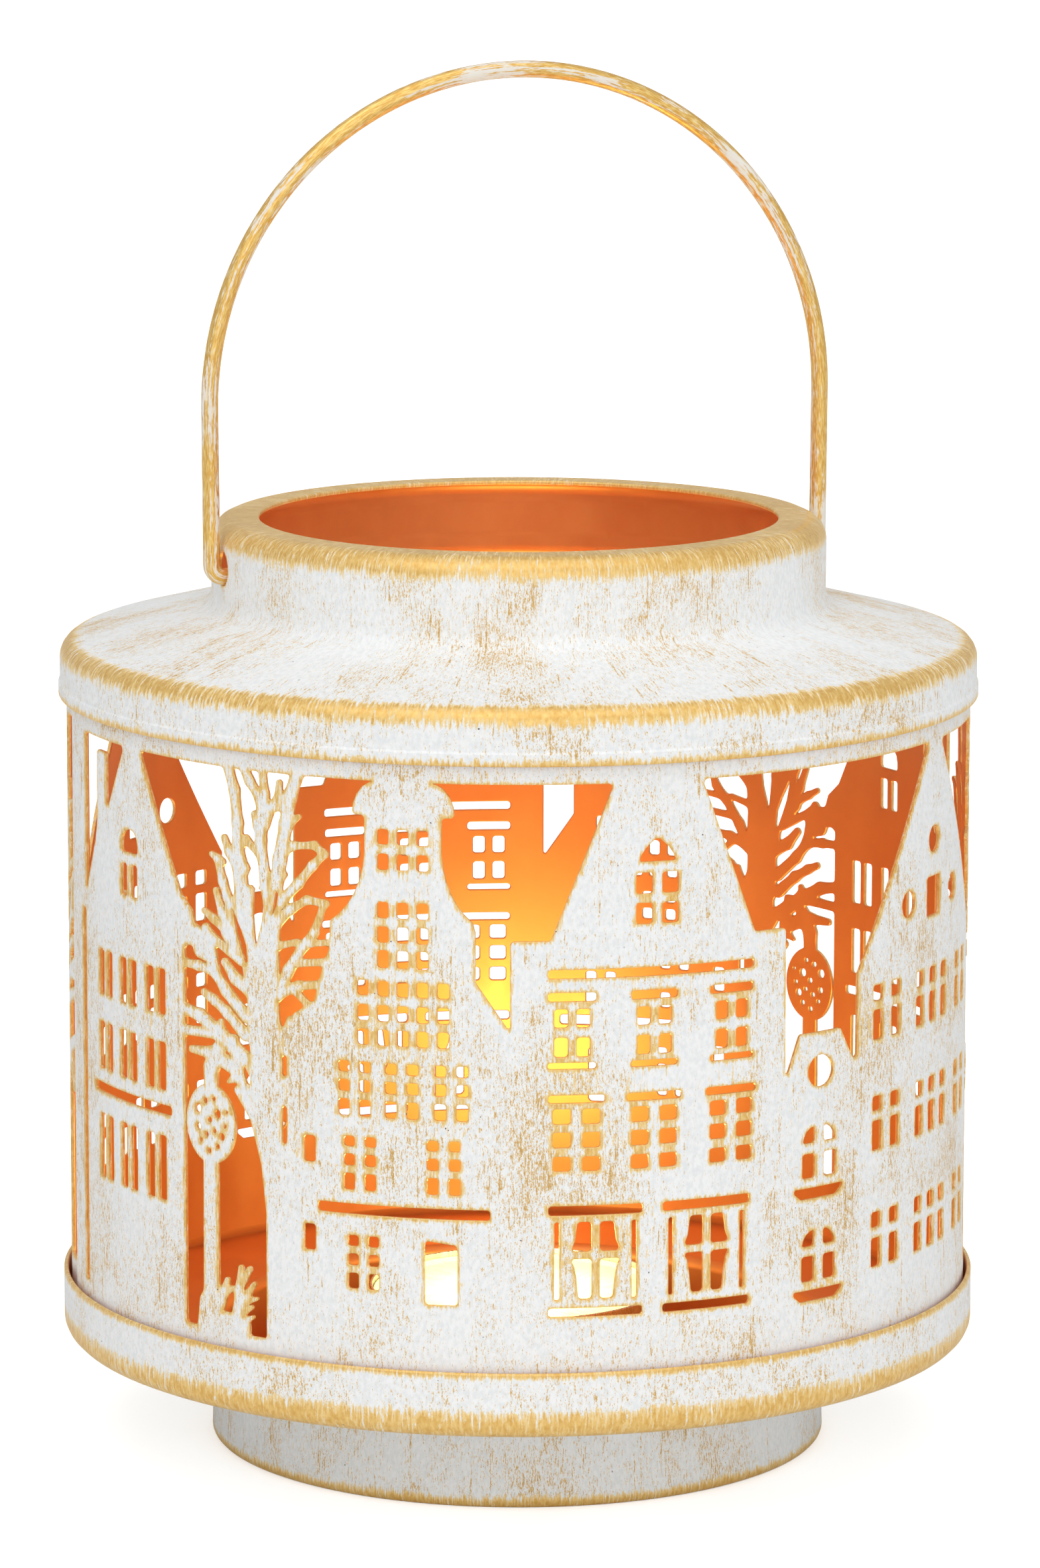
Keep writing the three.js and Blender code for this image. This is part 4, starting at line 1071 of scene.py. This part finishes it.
# The tab: a round plate with a collar whose bore holds the wick.
def makeTab(material):
    sharp, soft = candle["sharpEdge"], candle["softEdge"]
    plate, collar, collarTop = candle["tabRadius"], candle["collarRadius"], tabTop + candle["collarHeight"]
    bore = candle["wickRadius"] + candle["wickPlay"]
    corners = [
        (0, waxFoot, 0), (plate, waxFoot, sharp), (plate, tabTop, sharp), (collar, tabTop, soft),
        (collar, collarTop, soft), (bore, collarTop, sharp), (bore, boreFoot, sharp), (0, boreFoot, 0),
    ]
    tab = candleSolid("wick_holder", corners, candle["tabSegments"], material)
    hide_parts("wick_tab")


# The wick: upright in the wax, and leaning with the square of its height above it.
def makeWick(material):
    radius, above = candle["wickRadius"], candle["wickAboveWax"]
    z = np.linspace(boreFoot + candle["gap"], waxTop + above, candle["wickRings"])
    lean = candle["wickLean"] * np.clip((z - waxTop) / above, 0, 1) ** 2
    line = np.column_stack([lean, np.zeros(len(z)), z])
    points, faces, ends, normals, brush = wireFaces(line, radius, candle["wickSides"], [0, 1, 0])
    groups = [(faces, normals, 0), (ends, normals, 0)]
    wick = makePiece("candle_wick", points, groups, [material], [("brush", brush)], "tealight")
    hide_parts("wick")


# The bail: an end turned in, a bend, a nearly straight leg, a quarter of an ellipse, and all that mirrored.
def makeBail(materials):
    leg, bend, axis, archStart = bail["legAt"], bail["bend"], bail["axisHeight"], bail["archStart"]
    endSteps, legSteps = bail["endSteps"], bail["legSteps"]
    inward = np.column_stack([np.linspace(bail["endAt"], leg - bend, endSteps), np.full(endSteps, axis)])
    corner = arcPoints(leg - bend, axis + bend, bend, bend, -90, 0, bail["bendSteps"])[1:]
    outward = np.linspace(leg, bail["archHalfWidth"], legSteps)
    rise = np.column_stack([outward, np.linspace(axis + bend, archStart, legSteps)])[1:]
    arch = arcPoints(0, archStart, bail["archHalfWidth"], bail["archRise"], 0, 90, bail["archSteps"])[1:]
    half = np.vstack([inward, corner, rise, arch])
    flatLine = np.vstack([half, half[-2::-1] * [-1, 1]])
    turn = math.radians(bail["turn"])
    along, flat = np.array([math.cos(turn), math.sin(turn)]), [-math.sin(turn), math.cos(turn), 0]
    line = np.column_stack([flatLine[:, :1] * along, flatLine[:, 1]])
    points, faces, ends, normals, brush = wireFaces(line, bail["wireRadius"], bail["sides"], flat)
    groups = [(faces, normals, 0), (ends, normals, 0)]
    piece = makePiece("wire_handle", points, groups, materials, [("brush", brush)], "bail")
    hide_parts("wire_bail")


# A written sRGB colour as the linear one that Blender takes.
def colour(red, green, blue):
    parts = np.array([red, green, blue]) / 255
    return (*np.where(parts < 0.04045, parts / 12.92, ((parts + 0.055) / 1.055) ** 2.4), 1)


# Inputs given to sockets: a number or colour is set, a socket is linked.
def feed(tree, sockets, values):
    for name, value in values.items():
        if isinstance(value, bpy.types.NodeSocket):
            tree.links.new(value, sockets[name])
        else:
            sockets[name].default_value = value


def node(tree, kind, inputs, **settings):
    made = tree.nodes.new("ShaderNode" + kind)
    for name, value in settings.items():
        setattr(made, name, value)
    feed(tree, made.inputs, inputs)
    return made


def calc(tree, operation, first, second=0.0, third=0.0):
    return node(tree, "Math", {0: first, 1: second, 2: third}, operation=operation).outputs[0]


# A smooth step of a value between low and high, which goes from start to finish.
def ramp(tree, value, low, high, start=0.0, finish=1.0):
    inputs = {"Value": value, "From Min": low, "From Max": high, "To Min": start, "To Max": finish}
    return node(tree, "MapRange", inputs, interpolation_type="SMOOTHSTEP").outputs[0]


def mixed(tree, share, first, second):
    return node(tree, "Mix", {0: share, 6: first, 7: second}, data_type="RGBA").outputs[2]


# From the darker to the lighter shade of a finish.
def shaded(tree, share, finish):
    return mixed(tree, share, *[colour(*shade) for shade in shades[finish]])


# A start value plus each value times its weight.
def weighted(tree, *terms, start=0.0):
    total = start
    for value, weight in terms:
        total = calc(tree, "MULTIPLY_ADD", value, weight, total)
    return total


# Noise at a place in millimetres, with a stretch for each axis.
def noise(tree, place, scale, stretch, shift, detail, rough=0.5):
    inputs = {"Vector": place, "Scale": [scale * part for part in stretch], "Location": [shift] * 3}
    mapped = node(tree, "Mapping", inputs).outputs[0]
    inputs = {"Vector": mapped, "Scale": 1.0, "Detail": detail, "Roughness": rough}
    return node(tree, "TexNoise", inputs).outputs[0]


# A normal from a height, 0.2 mm deep at full strength.
def bumped(tree, height, strength):
    return node(tree, "Bump", {"Height": height, "Strength": strength, "Distance": 0.2 * mm}).outputs[0]


# One value for what the camera itself sees, another for all other light.
def toCamera(tree, seen, otherwise):
    direct = node(tree, "LightPath", {}).outputs["Is Camera Ray"]
    return node(tree, "MapRange", {"Value": direct, "To Min": otherwise, "To Max": seen}).outputs[0]


# A node group: its tree, what it is given, and where its results go.
def effectGroup(name, inputs, outputs):
    tree = bpy.data.node_groups.new(name, "ShaderNodeTree")
    for label, kind in inputs:
        tree.interface.new_socket(label, in_out="INPUT", socket_type="NodeSocket" + kind)
    for label, kind in outputs:
        tree.interface.new_socket(label, in_out="OUTPUT", socket_type="NodeSocket" + kind)
    return tree, tree.nodes.new("NodeGroupInput").outputs, tree.nodes.new("NodeGroupOutput").inputs


# White paint dragged over gold. Gold shows bare at cuts and worn lines, with a ragged edge and a pale rim,
# and elsewhere as upright dashes and a veil. The height is the grain, lower where the gold shows.
def dryBrushGroup():
    look, labels = paintwork, ("Bare", "Rim", "Dashes", "Dark", "Veil", "Tone", "Height")
    inputs, outputs = [("Brush", "Vector"), ("Wear", "Float")], [(label, "Float") for label in labels]
    tree, given, result = effectGroup("dry_brush", inputs, outputs)
    lines, fine, mottle, patches, broad, strokes, teeth = [
        noise(tree, given["Brush"], *settings) for settings in look["noises"].values()
    ]
    grain = weighted(tree, (fine, 0.38), (lines, 0.62))
    cover = weighted(tree, (broad, 0.42), (patches, 0.26))
    drawn = calc(tree, "MULTIPLY", ramp(tree, strokes, 0.56, 0.7), ramp(tree, patches, 0.42, 0.62))
    amount = weighted(tree, (grain, 1.3), (drawn, 0.16), start=cover)
    wear = calc(tree, "ADD", given["Wear"], look["wearShift"])
    edge = weighted(tree, (grain, -1.0), (cover, -0.8), (teeth, -1.5), start=wear)
    rimEdge = weighted(tree, (edge, 1.0), (mottle, -0.5), start=0.25)
    veil = weighted(tree, (mottle, 0.25), start=amount)
    bare = ramp(tree, edge, *look["bareTo"], 1.0, 0.0)
    dashes = ramp(tree, amount, *look["dashesFrom"])
    feed(tree, result, {
        "Bare": bare,
        "Rim": ramp(tree, rimEdge, *look["rimTo"], 1.0, 0.0),
        "Dashes": dashes,
        "Dark": ramp(tree, amount, *look["darkFrom"]),
        "Veil": ramp(tree, veil, *look["veilFrom"]),
        "Tone": mottle,
        "Height": calc(tree, "SUBTRACT", grain, calc(tree, "MAXIMUM", dashes, bare)),
    })
    return tree


# Small dark spots, far apart.
def specksGroup():
    tree, given, result = effectGroup("dark_specks", [("Brush", "Vector")], [("Specks", "Float")])
    spots = noise(tree, given["Brush"], 1.9, (1, 1, 1), 9.2, 1.0)
    feed(tree, result, {"Specks": ramp(tree, spots, 0.80, 0.82)})
    return tree


def attribute(tree, name, kind="Vector"):
    return node(tree, "Attribute", {}, attribute_name=name, attribute_type="GEOMETRY").outputs[kind]


def newMaterial(name):
    material = bpy.data.materials.new(name)
    material.use_nodes = True
    tree = material.node_tree
    return material, tree, tree.nodes["Principled BSDF"].inputs


def group(tree, effect, **inputs):
    return node(tree, "Group", inputs, node_tree=effect).outputs


def paintedSheet():
    material, tree, surface = newMaterial("white_over_gold")
    brush = attribute(tree, "brush")
    paint = group(tree, dryBrushGroup(), Brush=brush, Wear=attribute(tree, "wear", "Fac"))
    specks = group(tree, specksGroup(), Brush=brush)["Specks"]
    base = shaded(tree, ramp(tree, paint["Tone"], 0.3, 0.65), "white")
    for label, strength, tint in paintwork["layers"]:
        base = mixed(tree, calc(tree, "MULTIPLY", paint[label], strength), base, colour(*tint))
    base = mixed(tree, paint["Bare"], base, shaded(tree, ramp(tree, paint["Tone"], 0.2, 0.8), "gold"))
    feed(tree, surface, {
        "Base Color": mixed(tree, specks, base, colour(*paintwork["speck"])),
        "Roughness": ramp(tree, paint["Bare"], 0, 1, *paintwork["roughness"]),
        "Metallic": calc(tree, "MULTIPLY", paint["Bare"], paintwork["bareMetallic"]),
        "Normal": bumped(tree, paint["Height"], paintwork["bump"]),
    })
    return material


def copperInside():
    material, tree, surface = newMaterial("copper_inside")
    clouds = noise(tree, attribute(tree, "brush"), 0.12, (1, 1, 0.5), 2.0, 4.0, 0.6)
    feed(tree, surface, {
        "Base Color": shaded(tree, clouds, "copper"),
        "Roughness": ramp(tree, clouds, 0.3, 0.7, 0.38, 0.46),
        "Metallic": 0.75,
    })
    return material


# Gold wire with off-white paint left on it in streaks.
def brushedWire():
    material, tree, surface = newMaterial("brushed_wire")
    brush = attribute(tree, "brush")
    streaks = noise(tree, brush, 2.4, (1, 1, 0.04), 4.0, 3.0, 0.6)
    fine = noise(tree, brush, 7.0, (1, 1, 0.12), 2.0, 2.0, 0.6)
    clouds = noise(tree, brush, 0.05, (1, 1, 1), 5.0, 3.0, 0.6)
    amount = weighted(tree, (streaks, 0.65), (fine, 0.35), (clouds, 0.8))
    share = ramp(tree, amount, 0.92, 0.98, 0.0, 0.9)
    gold = shaded(tree, ramp(tree, fine, 0.35, 0.65), "wireGold")
    feed(tree, surface, {
        "Base Color": mixed(tree, share, gold, colour(*bail["paint"])),
        "Roughness": ramp(tree, share, 0, 1, 0.36, 0.6),
        "Metallic": ramp(tree, share, 0, 0.5, 0.6, 0.0),
        "Normal": bumped(tree, amount, 0.25),
    })
    return material


def drawnAluminium():
    material, tree, surface = newMaterial("drawn_aluminium")
    scuffs = noise(tree, attribute(tree, "brush"), 1.2, (1, 1, 0.08), 1.0, 3.0, 0.6)
    feed(tree, surface, {
        "Base Color": shaded(tree, scuffs, "aluminium"),
        "Roughness": ramp(tree, scuffs, 0.3, 0.7, 0.2, 0.38),
        "Metallic": 1.0,
    })
    return material


# Wax that lets light in, with a faint painted glow that stands in for the flame's light inside it.
def candleWax():
    material, tree, surface = newMaterial("candle_wax")
    depth = noise(tree, attribute(tree, "brush"), 0.3, (1, 1, 1), 6.0, 2.0)
    feed(tree, surface, {
        "Base Color": shaded(tree, depth, "wax"),
        "Roughness": ramp(tree, depth, 0.3, 0.7, 0.25, 0.4),
        # painted glow: the wax shines a little by itself, as if lit from within by the flame
        "Emission Color": shaded(tree, depth, "paintedWaxGlow"),
        "Emission Strength": 0.05,
        "Subsurface Weight": 0.3,
        "Subsurface Radius": (0.004, 0.003, 0.0015),
    })
    return material


def charredWick():
    material, tree, surface = newMaterial("charred_wick")
    fibres = noise(tree, attribute(tree, "brush"), 2.5, (1, 1, 0.3), 1.0, 3.0)
    feed(tree, surface, {"Base Color": shaded(tree, fibres, "wick"), "Roughness": 0.9})
    return material


# The floor takes the shadow. It glows a little to the camera, so it is white where nothing shades it.
def makeFloor():
    bpy.ops.mesh.primitive_plane_add(size=stage["floorSize"])
    floor = bpy.context.object
    floor.name = "floor"
    material, tree, surface = newMaterial("floor_white")
    feed(tree, surface, {
        "Base Color": colour(*stage["floorColour"]),
        "Roughness": 0.9,
        "Specular IOR Level": 0.1,
        "Emission Color": (1, 1, 1, 1),
        "Emission Strength": toCamera(tree, stage["floorGlow"], 0.0),
    })
    floor.data.materials.append(material)


# White to the camera, and dimmer as a light.
def makeSky():
    world = bpy.data.worlds.new("studio")
    bpy.context.scene.world = world
    world.use_nodes = True
    tree = world.node_tree
    strength = toCamera(tree, 1.0, stage["skyStrength"])
    feed(tree, tree.nodes["Background"].inputs, {"Color": (1, 1, 1, 1), "Strength": strength})


# A wide soft sun: azimuth from the front, positive to the right, and height over the floor, in degrees.
def addSun(name, azimuth, height, strength, softness):
    lamp = bpy.data.lights.new(name, "SUN")
    lamp.energy = strength
    lamp.angle = math.radians(softness)
    placed(name, lamp).rotation_euler = (math.radians(90 - height), 0, math.radians(azimuth))


# The candle's light, from a little above its wax.
def addFlame():
    lamp = bpy.data.lights.new("flame", "POINT")
    lamp.energy = stage["flamePower"]
    lamp.color = stage["flameTint"]
    lamp.shadow_soft_size = stage["flameSize"] * mm
    placed("flame", lamp).location = (0, 0, stage["flameHeight"] * mm)


# The photograph's camera: its place from a distance and an elevation, then its own pitch and roll.
def makeCamera():
    data = bpy.data.cameras.new("photo")
    thing = placed("photo", data)
    across, down = camera["picture"]
    data.sensor_fit = "AUTO"
    data.sensor_width = camera["sensor"]
    data.lens = camera["focalPixels"] / down * camera["sensor"]
    data.shift_x = (across / 2 - camera["centre"][0]) / down
    data.shift_y = (camera["centre"][1] - down / 2) / down
    data.clip_start, data.clip_end = camera["clip"]
    rise, tip = math.radians(camera["elevation"]), math.radians(camera["pitch"])
    far = camera["distance"] * mm
    thing.location = (0, -far * math.cos(rise), far * math.sin(rise))
    thing.rotation_euler = (math.pi / 2 - tip, 0, 0)
    thing.rotation_euler.rotate_axis("Z", math.radians(camera["roll"]))
    bpy.context.scene.camera = thing


paint, inside, aluminium = paintedSheet(), copperInside(), drawnAluminium()
makeWall([paint, inside])
makeLid([paint, inside])
makePan([paint, inside])
makeBail([brushedWire()])
makeCup(aluminium)
makeWax(candleWax())
makeTab(aluminium)
makeWick(charredWick())
print("pieces made")
makeFloor()
makeSky()
for sun in stage["suns"]:
    addSun(*sun)
addFlame()
makeCamera()
scene = bpy.context.scene
scene.view_settings.view_transform = "Standard"
print("scene ready")
